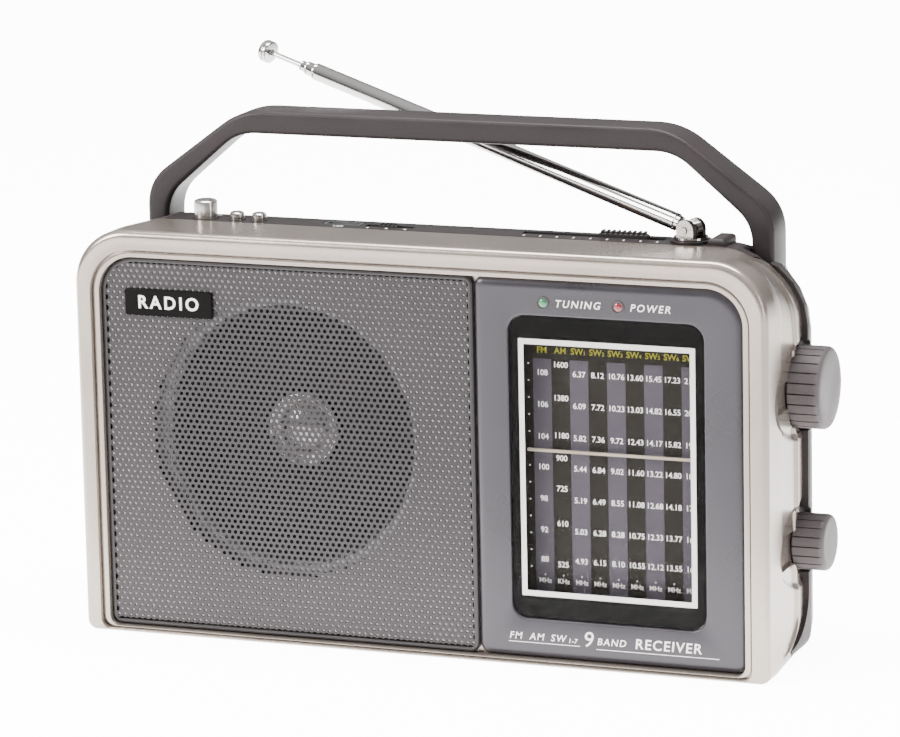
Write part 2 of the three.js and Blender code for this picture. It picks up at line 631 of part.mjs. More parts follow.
function buildTop() {
  const { left, right, front, back, low } = STRIP;
  const plate = box(left, right, front, back, low, 146);
  const holes = [
    bar("z", POWER_BUTTON.radius + GAP, 140, 150, POWER_BUTTON.x, POWER_BUTTON.y, 28),
    ...SMALL_BUTTONS.map((x) => bar("z", SMALL_BUTTON.radius + GAP, 140, 150, x, SMALL_BUTTON.y)),
    box(USB.x - USB.width / 2 - GAP, USB.x + USB.width / 2 + GAP, USB.y - 3.1, USB.y + 3.1, 140, 150),
    ...[FUNCTION_SLOT, BAND_SLOT].map((slot) =>
      box(slot.left, slot.right, slot.y - slot.half, slot.y + slot.half, 140, 150),
    ),
    bar("z", MAST_HOLE, 140, 150, MAST.x, MAST.y),
  ];
  addNode("top_panel", cut(plate, ...holes), 0x5f5758, 0.6);
  addNode("control_board", box(-99, 82, -6.2, 1.5, 134.6, 136.2), 0x9a6a3c, 0.7);
  const power = button(POWER_BUTTON).translate([POWER_BUTTON.x, POWER_BUTTON.y, 0]);
  addNode("power_button", power, STEEL, 0.25, 0.9);
  SMALL_BUTTONS.forEach((x, i) => {
    addNode(`small_button_${i + 1}`, button(SMALL_BUTTON).translate([x, SMALL_BUTTON.y, 0]), STEEL, 0.25, 0.9);
  });
  const [usbHalf, usbDeep] = [USB.width / 2, USB.depth / 2];
  const usbLow = HEIGHT - USB.height;
  const socket = box(USB.x - usbHalf, USB.x + usbHalf, USB.y - usbDeep, USB.y + usbDeep, usbLow, HEIGHT);
  const mouth = box(USB.x - 6.1, USB.x + 6.1, USB.y - 2.25, USB.y + 2.25, 137.2, 150);
  addNode("usb_socket", socket.subtract(mouth), STEEL, 0.3, 1);

  const functionStem = join(
    box(-24, -17, FUNCTION_SLOT.y - 1.3, FUNCTION_SLOT.y + 1.3, 141, 147.2),
    box(-27, -14, FUNCTION_SLOT.y - 2.6, FUNCTION_SLOT.y + 2.6, 141, 142.4),
  );
  addNode("function_switch", functionStem, 0x2a2726, 0.5);
  const slider = join(
    box(57, 75, BAND_SLOT.y - 1.6, BAND_SLOT.y + 1.6, 141, 147.4),
    box(54.5, 77.5, BAND_SLOT.y - 3, BAND_SLOT.y + 3, 141, 142.4),
    ...ridges(58, 74, BAND_SLOT.y - 1.6, BAND_SLOT.y + 1.6, 147.3, 148.4, 2),
  );
  addNode("band_switch", slider, 0x3a3536, 0.55);
}

// ---- Handle -----------------------------------------------------------------------------------------------

// The handle's front outline: two legs, two slanted shoulders and a straight grip, with eased corners.
function handleOutline() {
  const outer = [
    [LEG_OUTER, PIVOT.z - 12],
    [LEG_OUTER, 156.2],
    [80.5, HANDLE_TOP],
  ];
  const inner = [
    [81.8, 175],
    [LEG_INNER, 151.3],
    [LEG_INNER, PIVOT.z - 12],
  ];
  const mirrored = (points) => points.map(([x, z]) => [-x, z]).reverse();
  const loop = [...outer, ...mirrored(outer), ...mirrored(inner), ...inner];
  const shape = new THREE.Shape();
  loop.forEach((point, i) => {
    const here = new THREE.Vector2(...point);
    const before = new THREE.Vector2(...loop.at(i - 1));
    const after = new THREE.Vector2(...loop[(i + 1) % loop.length]);
    const ease = point[1] > PIVOT.z ? 7 : 0;
    const enter = before.sub(here).setLength(ease).add(here);
    const leave = after.sub(here).setLength(ease).add(here);
    if (i === 0) shape.moveTo(enter.x, enter.y);
    else shape.lineTo(enter.x, enter.y);
    if (ease > 0) shape.quadraticCurveTo(here.x, here.y, leave.x, leave.y);
  });
  return shape;
}

function buildHandle() {
  const half = HANDLE_DEPTH / 2;
  const options = { depth: HANDLE_DEPTH - 4, curveSegments: 3, bevelEnabled: true };
  options.bevelThickness = 2;
  options.bevelSize = 1.6;
  options.bevelOffset = -1.6;
  options.bevelSegments = 2;
  const drawn = new THREE.ExtrudeGeometry(handleOutline(), options).rotateX(Math.PI / 2);
  const bow = solid(drawn.translate(0, PIVOT.y + half - 2, 0));
  const keep = join(
    box(-130, 130, -20, 40, PIVOT.z, 200),
    bar("x", half, -130, 130, PIVOT.y, PIVOT.z, 32),
  );
  const pinHole = bar("x", PIN_RADIUS + GAP, -130, 130, PIVOT.y, PIVOT.z, 20);
  addNode("handle", bow.intersect(keep).subtract(pinHole), BROWN, 0.55);
  [["left", -1], ["right", 1]].forEach(([name, side]) => {
    const ends = [side * 105.6, side * PIN_END];
    const pin = bar("x", PIN_RADIUS, Math.min(...ends), Math.max(...ends), PIVOT.y, PIVOT.z, 16);
    addNode(`handle_pin_${name}`, pin, STEEL, 0.35, 1);
  });
}

// ---- Antenna ----------------------------------------------------------------------------------------------

// The mast is built along +X with its tilt axis on Y, then set at its azimuth and elevation.
function buildAntenna() {
  const chrome = 0xd4d5d8;
  const seat = bar("z", 7.2, 146.3, 147, MAST.x, MAST.y, 32).subtract(bar("z", MAST_HOLE, 140, 150, MAST.x, MAST.y));
  addNode("antenna_seat", seat, 0x2c2a2a, 0.4, 0.5);

  const turret = new THREE.Group();
  turret.position.set(MAST.x, MAST.y, MAST.z);
  turret.rotation.z = THREE.MathUtils.degToRad(MAST.azimuth);
  root.add(turret);
  const ears = [-1, 1].map((side) => {
    const near = side * 2;
    const far = side * 3.8;
    const round = bar("y", 3.6, Math.min(near, far), Math.max(near, far), 0, 0, 24);
    const foot = box(-3.6, 3.6, Math.min(near, far), Math.max(near, far), -3, 0);
    return round.add(foot);
  });
  const knuckle = join(
    bar("z", 6, -3.1, -2.4, 0, 0, 32).add(bar("z", 3, -14, -3, 0, 0)),
    bar("z", 4.6, -14.6, -13.4, 0, 0),
    ...ears.map((ear) => ear.intersect(box(-8, 8, -8, 8, -3, 8))),
  ).subtract(bar("y", 1.3, -8, 8, 0, 0, 16));
  addNode("antenna_knuckle", cut(knuckle, box(-8, 8, -1.99, 1.99, -2.35, 8)), chrome, 0.15, 1, turret);
  const pin = join(bar("y", 1, -4.2, 4.2, 0, 0, 16), bar("y", 2, -5.2, -4.1, 0, 0, 16));
  addNode("antenna_hinge_pin", pin, chrome, 0.2, 1, turret);

  const mast = new THREE.Group();
  mast.rotation.y = -THREE.MathUtils.degToRad(MAST.elevation);
  turret.add(mast);
  const tubeOf = ({ outer, inner, start, end }) =>
    bar("x", outer, start, end, 0, 0, 16).subtract(bar("x", inner, start + 1.6, end + 1, 0, 0, 16));
  TUBES.forEach((tube, i) => {
    let section = tubeOf(tube);
    if (i === 0) {
      const eye = join(
        bar("y", 2.2, -1.7, 1.7, 0, 0, 20),
        box(0, 6, -1.7, 1.7, -1.9, 1.9),
      ).subtract(bar("y", 1.3, -4, 4, 0, 0, 16));
      section = section.add(eye.intersect(box(-4, 6.6, -4, 4, -2.6, 2.6)));
    }
    addNode(`antenna_section_${i + 1}`, section, chrome, 0.12, 1, mast);
  });
  const button = [
    [0, 0],
    [TIP.radius - 0.6, 0],
    [TIP.radius, 0.6],
    [TIP.radius, TIP.length - 0.6],
    [TIP.radius - 0.6, TIP.length],
    [0, TIP.length],
  ];
  const tip = turned(button).rotate([0, 90, 0]).translate([ROD.end, 0, 0]);
  const rod = bar("x", ROD.radius, ROD.start, ROD.end + 1, 0, 0, 16).add(tip);
  addNode("antenna_section_4", rod, chrome, 0.12, 1, mast);
}

buildCabinet();
buildFront();
buildSpeaker();
buildTuning();
buildVolume();
buildPower();
buildTop();
buildHandle();
buildAntenna();

export default root;
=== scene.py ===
"""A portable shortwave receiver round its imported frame: cases, grille, dial, controls, handle and mast."""

import math

import bmesh
import bpy
import numpy as np
from mathutils import Matrix, Vector


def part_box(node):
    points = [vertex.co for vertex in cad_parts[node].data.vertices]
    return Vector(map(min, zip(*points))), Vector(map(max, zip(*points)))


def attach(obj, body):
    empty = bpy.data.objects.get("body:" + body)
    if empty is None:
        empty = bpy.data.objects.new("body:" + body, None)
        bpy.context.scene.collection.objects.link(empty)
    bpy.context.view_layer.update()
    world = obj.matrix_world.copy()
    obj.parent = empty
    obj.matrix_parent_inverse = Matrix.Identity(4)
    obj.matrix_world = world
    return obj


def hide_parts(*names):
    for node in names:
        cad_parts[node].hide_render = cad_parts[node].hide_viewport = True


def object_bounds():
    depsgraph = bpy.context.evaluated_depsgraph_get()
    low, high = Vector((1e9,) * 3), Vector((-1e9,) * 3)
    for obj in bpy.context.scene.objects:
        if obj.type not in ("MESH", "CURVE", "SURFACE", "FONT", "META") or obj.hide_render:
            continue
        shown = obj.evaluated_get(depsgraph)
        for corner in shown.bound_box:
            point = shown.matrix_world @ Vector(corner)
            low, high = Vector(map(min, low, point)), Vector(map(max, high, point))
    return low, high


bl_info = {
    "name": "Shortwave receiver",
    "version": (1, 0, 0),
    "blender": (4, 5, 0),
    "location": "View3D > Sidebar > Receiver",
    "description": "Builds the shells, grille, dial, controls, handle and mast of a portable receiver",
    "category": "Object",
}

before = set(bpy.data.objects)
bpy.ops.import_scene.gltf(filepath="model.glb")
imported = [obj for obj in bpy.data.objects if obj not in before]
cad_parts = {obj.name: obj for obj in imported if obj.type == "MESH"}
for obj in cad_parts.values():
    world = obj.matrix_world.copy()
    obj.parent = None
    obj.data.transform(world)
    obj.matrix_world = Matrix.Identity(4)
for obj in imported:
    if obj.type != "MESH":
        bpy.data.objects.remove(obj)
CAD_BOX = [list(corner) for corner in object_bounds()]
MM = 0.001


def box_mm(node):
    """Lowest and highest corners of a CAD node at rest, in millimetres."""
    low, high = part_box(node)
    return np.array(low) / MM, np.array(high) / MM


def middle_of(node):
    """Middle of a CAD node's box, in millimetres."""
    low, high = box_mm(node)
    return (low + high) / 2


# ---- Sizes that follow from the frame, in millimetres ----------------------------------------------------

CASE_LOW, CASE_HIGH = box_mm("front_cabinet")
FRONT, HEIGHT = CASE_LOW[1], CASE_HIGH[2]
CASE_HALF = CASE_HIGH[0]
GRILLE_LOW, GRILLE_HIGH = box_mm("speaker_grille")
PANEL_LOW, PANEL_HIGH = box_mm("dial_panel")
LENS_LOW, LENS_HIGH = box_mm("dial_window")
SCALE_LOW, SCALE_HIGH = box_mm("dial_scale")
RECESS_HALF = PANEL_HIGH[0] + 0.3
RECESS_LOW, RECESS_HIGH = PANEL_LOW[2] - 0.3, PANEL_HIGH[2] + 0.3
PANEL_FACE = PANEL_LOW[1]

# The front moulding
WALL = 2.4
FRONT_EDGE = 2.5
TOP_CORNER, REAR_TOP_CORNER = 20.0, 28.0
LOW_CORNER, REAR_LOW_CORNER = 3.5, 7.0
CORNER_GROWTH = 24.0
RECESS_CORNER = 13.0
RECESS_FOOT_CORNER = 3.5
BAFFLE_FRONT, BAFFLE_BACK = -30.0, -27.6
LIP_WIDTH, LIP_FOOT, LIP_DROP = 2.6, 0.9, 1.5
SEAM_TOP, SEAM_SIDE, SEAM_GAP = -9.8, 10.5, 0.15
SEAM_LOW_RISE, SEAM_HIGH_RISE = (5.5, 21.5), (116.0, 143.0)
SIDE_LINE = -18.5
SIDE_RIDGE = -0.5
RIDGE_SWEEP = 20.0
BEVEL_FALL, BEVEL_RUN, FACET_FALL = 2.0, 11.0, 0.9
POCKET_DEPTH = 3.4
SPEAKER_OPENING = 49.9


# ---- Meshes ----------------------------------------------------------------------------------------------

def join_parts(parts):
    """Several (points, faces) pairs as one, with the later faces counted on from the earlier points."""
    points = np.concatenate([p for p, _ in parts])
    faces, start = [], 0
    for part_points, part_faces in parts:
        faces += [tuple(int(i) + start for i in face) for face in part_faces]
        start += len(part_points)
    return points, faces


def piece(name, points, faces, body, slot, materials, nodes=(), closed=True, crease=32, kinds=None):
    """Makes one mesh from millimetre points, dresses it, and sets it to ride on a body in place of CAD
    nodes."""
    mesh = bpy.data.meshes.new(name)
    mesh.from_pydata((np.asarray(points) * MM).tolist(), [], [tuple(map(int, f)) for f in faces])
    if kinds is not None:
        mesh.polygons.foreach_set("material_index", np.asarray(kinds, np.int32))
    if closed:
        work = bmesh.new()
        work.from_mesh(mesh)
        bmesh.ops.recalc_face_normals(work, faces=work.faces)
        work.to_mesh(mesh)
        work.free()
    mesh.shade_smooth()
    mesh.set_sharp_from_angle(angle=math.radians(crease))
    for material in np.atleast_1d(materials):
        mesh.materials.append(material)
    obj = bpy.data.objects.new(name, mesh)
    bpy.context.scene.collection.objects.link(obj)
    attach(obj, body)
    if nodes:
        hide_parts(*nodes)
    return obj


def grid_faces(rows, columns, wrap_rows=False, wrap_columns=True):
    """The quads of a grid of rows x columns points, joined to its start where it wraps."""
    r = np.arange(rows if wrap_rows else rows - 1)
    c = np.arange(columns if wrap_columns else columns - 1)
    r, c = np.meshgrid(r, c, indexing="ij")
    r2, c2 = (r + 1) % rows, (c + 1) % columns
    quads = np.stack([r * columns + c, r * columns + c2, r2 * columns + c2, r2 * columns + c], -1)
    return quads.reshape(-1, 4).tolist()


def loft(rings, caps=(True, True)):
    """Rings of equal count joined one to the next, with a flat cap over the first and the last."""
    rings = np.asarray(rings, float)
    rows, columns = rings.shape[:2]
    faces = grid_faces(rows, columns)
    if caps[0]:
        faces.append(list(range(columns))[::-1])
    if caps[1]:
        faces.append(list(range((rows - 1) * columns, rows * columns)))
    return rings.reshape(-1, 3), faces


def axes_along(direction):
    """Two unit vectors square to a direction and to each other."""
    along = np.asarray(direction, float)
    along = along / np.linalg.norm(along)
    helper = np.array([0.0, 0.0, 1.0]) if abs(along[2]) < 0.9 else np.array([0.0, 1.0, 0.0])
    side = np.cross(helper, along)
    side = side / np.linalg.norm(side)
    return along, side, np.cross(along, side)


def turned(profile, origin, direction, sides=48, caps=(True, True)):
    """A profile of (along, radius) turned about an axis: origin + along d + radius (cos a u + sin a v)."""
    along, side, up = axes_along(direction)
    profile = np.asarray(profile, float)
    angle = np.linspace(0, 2 * np.pi, sides, endpoint=False)
    spoke = np.cos(angle)[:, None] * side + np.sin(angle)[:, None] * up
    rings = np.asarray(origin) + profile[:, 0, None, None] * along + profile[:, 1, None, None] * spoke
    return loft(rings, caps)


def rounded(left, right, low, high, radii, count=8):
    """A rounded rectangle anticlockwise from its bottom right corner: each corner is centre + r (cos a,
    sin a)."""
    if np.isscalar(radii):
        radii = [radii] * 4
    signs = [(1, -1), (1, 1), (-1, 1), (-1, -1)]
    points = []
    for turn, ((sx, sz), r) in enumerate(zip(signs, radii)):
        angle = np.radians(np.linspace(-90, 0, count) + 90 * turn)
        x = (right if sx > 0 else left) - sx * r + r * np.cos(angle)
        z = (high if sz > 0 else low) - sz * r + r * np.sin(angle)
        points.append(np.column_stack([x, z]))
    return np.concatenate(points)


def circle(x, z, radius, count=48):
    """Points round a circle, x + r cos a and z + r sin a."""
    angle = np.linspace(0, 2 * np.pi, count, endpoint=False)
    return np.column_stack([x + radius * np.cos(angle), z + radius * np.sin(angle)])


def mesh_of(curve):
    """The points and faces that a flat curve or a text gives, in its own units."""
    holder = bpy.data.objects.new("outline", curve)
    bpy.context.scene.collection.objects.link(holder)
    graph = bpy.context.evaluated_depsgraph_get()
    mesh = bpy.data.meshes.new_from_object(holder.evaluated_get(graph))
    points = np.zeros(len(mesh.vertices) * 3, np.float32)
    mesh.vertices.foreach_get("co", points)
    faces = [list(p.vertices) for p in mesh.polygons]
    bpy.data.objects.remove(holder)
    bpy.data.meshes.remove(mesh)
    bpy.data.curves.remove(curve)
    return points.reshape(-1, 3).astype(float), faces


def plate(outlines, near, far, bevel=0.0, steps=3, facing="front"):
    """A flat sheet inside closed outlines, holes among them, drawn out from near to far with rounded edges.

    Facing front, an outline's points are (x, z) and the sheet runs back along y. Facing top, they are
    (x, y) and it stands along z."""
    curve = bpy.data.curves.new("plate", "CURVE")
    curve.dimensions = "2D"
    curve.fill_mode = "BOTH"
    curve.extrude = (far - near) / 2 - bevel
    curve.bevel_depth = bevel
    curve.bevel_resolution = steps
    curve.offset = -bevel
    for outline in outlines:
        spline = curve.splines.new("POLY")
        spline.points.add(len(outline) - 1)
        flat = np.column_stack([outline, np.zeros(len(outline)), np.ones(len(outline))])
        spline.points.foreach_set("co", flat.ravel())
        spline.use_cyclic_u = True
    points, faces = mesh_of(curve)
    middle = (near + far) / 2
    if facing == "front":
        return np.column_stack([points[:, 0], middle - points[:, 2], points[:, 1]]), faces
    return np.column_stack([points[:, 0], points[:, 1], middle + points[:, 2]]), faces


def lettering(words, height, at, depth=0.04, weight=0.0, slant=0.0, spacing=1.0, align="CENTER",
              facing="front"):
    """Words as a thin raised print: the letters' outlines, filled, stand depth proud of their place."""
    curve = bpy.data.curves.new("words", "FONT")
    curve.body = words
    curve.size = height / 0.72
    curve.extrude = depth / 2
    curve.offset = weight * height
    curve.shear = slant
    curve.space_character = spacing
    curve.align_x = align
    curve.align_y = "CENTER"
    curve.resolution_u = 3
    points, faces = mesh_of(curve)
    x, y, z = at
    if facing == "front":
        return np.column_stack([points[:, 0] + x, y - points[:, 2], points[:, 1] + z]), faces
    return np.column_stack([points[:, 0] + x, points[:, 1] + y, z + points[:, 2]]), faces


def block(low, high, edge=0.3):
    """A box with rounded upright edges and a small fillet top and bottom, from its two corners."""
    outline = rounded(low[0], high[0], low[1], high[1], edge, 4)
    levels = [(low[2], edge * 0.6), (low[2] + edge * 0.6, 0), (high[2] - edge * 0.6, 0),
              (high[2], edge * 0.6)]
    centre = np.array([(low[0] + high[0]) / 2, (low[1] + high[1]) / 2])
    half = np.array([high[0] - low[0], high[1] - low[1]]) / 2
    rings = []
    for z, inset in levels:
        scaled = centre + (outline - centre) * (half - inset) / half
        rings.append(np.column_stack([scaled, np.full(len(scaled), z)]))
    return loft(rings)


# ---- Materials -------------------------------------------------------------------------------------------

def linear(code):
    """An sRGB hex colour as linear light, by the sRGB curve's two branches."""
    parts = [int(code[i:i + 2], 16) / 255 for i in (1, 3, 5)]
    return tuple(c / 12.92 if c <= 0.04045 else ((c + 0.055) / 1.055) ** 2.4 for c in parts) + (1.0,)


def add(tree, kind, inputs=None, **settings):
    """Adds a node, sets its settings, and gives each input a value or links it to a socket."""
    node = tree.nodes.new(kind)
    for name, value in settings.items():
        setattr(node, name, value)
    for name, value in (inputs or {}).items():
        if isinstance(value, bpy.types.NodeSocket):
            tree.links.new(value, node.inputs[name])
        else:
            node.inputs[name].default_value = value
    return node


# Each finish: two sRGB shades that its surface varies between, the size in millimetres of its grain and of
# its slow mottling, how deep the grain stands, and the surface's gloss.
FINISHES = {
    # ABS sprayed with silver lacquer: fine metal flakes give a warm, soft, slightly grainy sheen.
    "silver_lacquer": dict(low="#8E847C", high="#A1968D", grain=0.35, mottle=40, depth=0.003, rough=0.24,
                           metal=0.8),
    # Spark-eroded ABS: a fine pebble grain from the mould keeps the dark shell matt.
    "grained_dark_abs": dict(low="#2B2626", high="#383132", grain=0.7, mottle=30, depth=0.03, rough=0.5,
                             shine=0.15),
    # Smooth dark ABS of the handle, polished a little by hands.
    "satin_dark_abs": dict(low="#262222", high="#312B2C", grain=0.5, mottle=25, depth=0.008, rough=0.4,
                           shine=0.15),
    # Painted perforated steel: a dark metallic grey with a low gloss.
    "painted_steel_mesh": dict(low="#242123", high="#302D2E", grain=0.5, mottle=60, depth=0.004, rough=0.38,
                               metal=0.45),
    # The same sheet where it is only dimpled, its raised domes rubbed bright.
    "bright_steel_mesh": dict(low="#6A6365", high="#817A7C", grain=0.5, mottle=50, depth=0.002, rough=0.24,
                              metal=0.8),
    # Purple-grey ABS sprayed satin round the dial.
    "satin_grey_lacquer": dict(low="#262328", high="#2F2B31", grain=0.45, mottle=35, depth=0.006, rough=0.3,
                               shine=0.6, metal=0.3),
    # Black printed back of an acrylic window, and glossy black plates.
    "black_back_print": dict(low="#050404", high="#0B0A09", grain=0.6, mottle=20, depth=0.001, rough=0.22,
                             shine=0.05),
    # Screen-printed white ink: dense, dull and a little uneven at its thinnest.
    "white_ink": dict(low="#DAD6D1", high="#F1EEEA", grain=0.4, mottle=12, depth=0.002, rough=0.6,
                      shine=0.12),
    # Screen-printed yellow-green ink.
    "olive_ink": dict(low="#7F7C20", high="#96932A", grain=0.4, mottle=12, depth=0.002, rough=0.6,
                      shine=0.12),
    # Printed card of the dial: dark ground and lighter columns under a matt varnish.
    "dark_dial_card": dict(low="#191612", high="#211D19", grain=0.5, mottle=18, depth=0.003, rough=0.6,
                           shine=0.12),
    "grey_dial_card": dict(low="#3D3940", high="#4A454C", grain=0.5, mottle=18, depth=0.003, rough=0.6,
                           shine=0.12),
    # Grey ABS of the knobs, moulded satin.
    "satin_knob_abs": dict(low="#4B4647", high="#585253", grain=0.4, mottle=14, depth=0.006, rough=0.42,
                           shine=0.12),
    # Dark moulded switch plastic.
    "switch_abs": dict(low="#1F1B1B", high="#2B2727", grain=0.4, mottle=8, depth=0.008, rough=0.45,
                       shine=0.2),
    # Chromed brass tube: near mirror, faintly hazed along its length by the drawing die.
    "drawn_chrome": dict(low="#A09E9C", high="#B9B7B5", grain=0.3, mottle=20, depth=0.0006, rough=0.13,
                         metal=1.0),
    # Vacuum-plated buttons: bright, softer than chrome.
    "plated_button": dict(low="#A39F9A", high="#BAB6B1", grain=0.3, mottle=10, depth=0.001, rough=0.2,
                          metal=0.9),
    # Zinc-plated steel: pale blue-grey with a fine crystal mottling.
    "zinc_plated_steel": dict(low="#9FA1A3", high="#B9BBBD", grain=0.8, mottle=5, depth=0.002, rough=0.34,
                              metal=1.0),
    "spring_steel": dict(low="#8F9092", high="#A9AAAB", grain=0.5, mottle=6, depth=0.001, rough=0.28,
                         metal=1.0),
    "turned_brass": dict(low="#B08D4A", high="#C6A25C", grain=0.4, mottle=6, depth=0.002, rough=0.3,
                         metal=1.0),
    # Pressed paper pulp: matt black with loose fibres.
    "paper_cone": dict(low="#1C1A19", high="#2A2725", grain=1.2, mottle=9, depth=0.05, rough=0.85),
    # Aluminised dust cap of the speaker.
    "aluminised_cap": dict(low="#C9C7C6", high="#E4E2E0", grain=0.5, mottle=9, depth=0.002, rough=0.24,
                           metal=0.9),
    # Sintered ferrite: dull charcoal with a sandy skin.
    "sintered_ferrite": dict(low="#262525", high="#343232", grain=0.9, mottle=7, depth=0.02, rough=0.7),
    "enamelled_copper": dict(low="#95552A", high="#B26C39", grain=0.6, mottle=6, depth=0.02, rough=0.35,
                             metal=0.8),
    # Phenolic paper board: brown with paper fibres.
    "phenolic_board": dict(low="#8B5C33", high="#A4713F", grain=1.5, mottle=12, depth=0.006, rough=0.6),
    "cream_moulding": dict(low="#DAD4C6", high="#E6E1D4", grain=0.5, mottle=12, depth=0.004, rough=0.45),
    "cell_wrap": dict(low="#5F666B", high="#757C81", grain=0.8, mottle=20, depth=0.002, rough=0.3,
                      metal=0.3),
    # Glass-filled nylon of the sockets.
    "black_nylon": dict(low="#191716", high="#262322", grain=0.5, mottle=8, depth=0.01, rough=0.5),
    "laminated_core": dict(low="#4E4C4A", high="#66635F", grain=0.5, mottle=8, depth=0.01, rough=0.45,
                           metal=0.6),
    "pointer_paint": dict(low="#8C806F", high="#A39684", grain=0.4, mottle=8, depth=0.002, rough=0.5),
}


# The finishes whose lighter shade is one of the add-on's colours; the darker shade keeps its share of it.
TINTS = {
    "silver_lacquer": "case_colour",
    "painted_steel_mesh": "grille_colour",
    "satin_grey_lacquer": "panel_colour",
    "satin_knob_abs": "knob_colour",
    "satin_dark_abs": "handle_colour",
    "grained_dark_abs": "rear_colour",
}


def shades(name):
    """The darker and the lighter shade of a finish, as linear light."""
    low, high = linear(FINISHES[name]["low"]), linear(FINISHES[name]["high"])
    if name in TINTS:
        tint = getattr(settings(), TINTS[name])
        low = tuple(t * a / b for t, a, b in zip(tint, low, high)) + (1.0,)
        high = tuple(tint) + (1.0,)
    return low, high


def shell_finish(name):
    """A moulded, painted or plated surface: grain and mottling shift its shade and gloss, and the grain
    stands."""
    if name in bpy.data.materials:
        return bpy.data.materials[name]
    look = FINISHES[name]
    material = bpy.data.materials.new(name)
    material.use_nodes = True
    tree = material.node_tree
    shader = tree.nodes["Principled BSDF"]
    shader.inputs["Metallic"].default_value = look.get("metal", 0.0)
    shader.inputs["Specular IOR Level"].default_value = look.get("shine", 0.5)
    place = add(tree, "ShaderNodeTexCoord").outputs["Object"]
    grain = add(tree, "ShaderNodeTexNoise",
                {"Vector": place, "Scale": 1 / (look["grain"] * MM), "Detail": 2.0})
    mottle = add(tree, "ShaderNodeTexNoise",
                 {"Vector": place, "Scale": 1 / (look["mottle"] * MM), "Detail": 3.0})
    both = add(tree, "ShaderNodeMix",
               {"Factor": 0.45, "A": mottle.outputs["Fac"], "B": grain.outputs["Fac"]})
    ramp = add(tree, "ShaderNodeValToRGB", {"Fac": both.outputs["Result"]})
    ramp.color_ramp.elements[0].position = 0.32
    ramp.color_ramp.elements[0].color, ramp.color_ramp.elements[1].color = shades(name)
    ramp.color_ramp.elements[1].position = 0.68
    tree.links.new(ramp.outputs["Color"], shader.inputs["Base Color"])
    spread = 0.18 * look["rough"]
    gloss = add(tree, "ShaderNodeMapRange",
                {"Value": mottle.outputs["Fac"], "From Min": 0.3, "From Max": 0.7,
                 "To Min": look["rough"] - spread,
                 "To Max": look["rough"] + spread})
    tree.links.new(gloss.outputs["Result"], shader.inputs["Roughness"])
    bump = add(tree, "ShaderNodeBump",
               {"Height": grain.outputs["Fac"], "Distance": look["depth"] * MM, "Strength": 1.0})
    tree.links.new(bump.outputs["Normal"], shader.inputs["Normal"])
    return material


def clear_acrylic():
    """Cast acrylic of the dial window: nearly clear, with a thin grey tint and a polished face."""
    material = bpy.data.materials.new("cast_acrylic")
    material.use_nodes = True
    tree = material.node_tree
    shader = tree.nodes["Principled BSDF"]
    shader.inputs["Base Color"].default_value = linear("#141312")
    shader.inputs["Alpha"].default_value = 0.06
    shader.inputs["IOR"].default_value = 1.49
    shader.inputs["Specular IOR Level"].default_value = 0.18
    place = add(tree, "ShaderNodeTexCoord").outputs["Object"]
    haze = add(tree, "ShaderNodeTexNoise", {"Vector": place, "Scale": 1 / (15 * MM), "Detail": 2.0})
    gloss = add(tree, "ShaderNodeMapRange", {"Value": haze.outputs["Fac"], "To Min": 0.03, "To Max": 0.08})
    tree.links.new(gloss.outputs["Result"], shader.inputs["Roughness"])
    return material


def lamp_resin(name, code):
    """Coloured epoxy of an indicator lamp: cloudy, with a clear glossy coat."""
    material = bpy.data.materials.new(name)
    material.use_nodes = True
    tree = material.node_tree
    shader = tree.nodes["Principled BSDF"]
    shader.inputs["Roughness"].default_value = 0.12
    shader.inputs["Coat Weight"].default_value = 0.6
    place = add(tree, "ShaderNodeTexCoord").outputs["Object"]
    cloud = add(tree, "ShaderNodeTexNoise", {"Vector": place, "Scale": 1 / (1.2 * MM), "Detail": 1.0})
    ramp = add(tree, "ShaderNodeValToRGB", {"Fac": cloud.outputs["Fac"]})
    ramp.color_ramp.elements[0].color = tuple(0.45 * c for c in linear(code)[:3]) + (1.0,)
    ramp.color_ramp.elements[1].color = linear(code)
    tree.links.new(ramp.outputs["Color"], shader.inputs["Base Color"])
    return material


def settings():
    return bpy.context.scene.receiver


# ---- The front moulding ----------------------------------------------------------------------------------

def ease(share):
    """A smooth step: 3 s^2 - 2 s^3 between 0 and 1."""
    s = np.clip(share, 0, 1)
    return s * s * (3 - 2 * s)


def quarter(share):
    """How far a quarter circle has dropped at a share of its run: 1 - sqrt(1 - s^2)."""
    return 1 - np.sqrt(1 - np.clip(share, 0, 1) ** 2)


def seam_depth(z):
    """Depth of the seam at height z: a quarter ellipse from the base and from the top to the sides."""
    low = quarter((SEAM_LOW_RISE[1] - z) / (SEAM_LOW_RISE[1] - SEAM_LOW_RISE[0]))
    high = quarter((z - SEAM_HIGH_RISE[0]) / (SEAM_HIGH_RISE[1] - SEAM_HIGH_RISE[0]))
    return SEAM_SIDE - (SEAM_SIDE - SEAM_TOP) * np.maximum(low, high) - SEAM_GAP


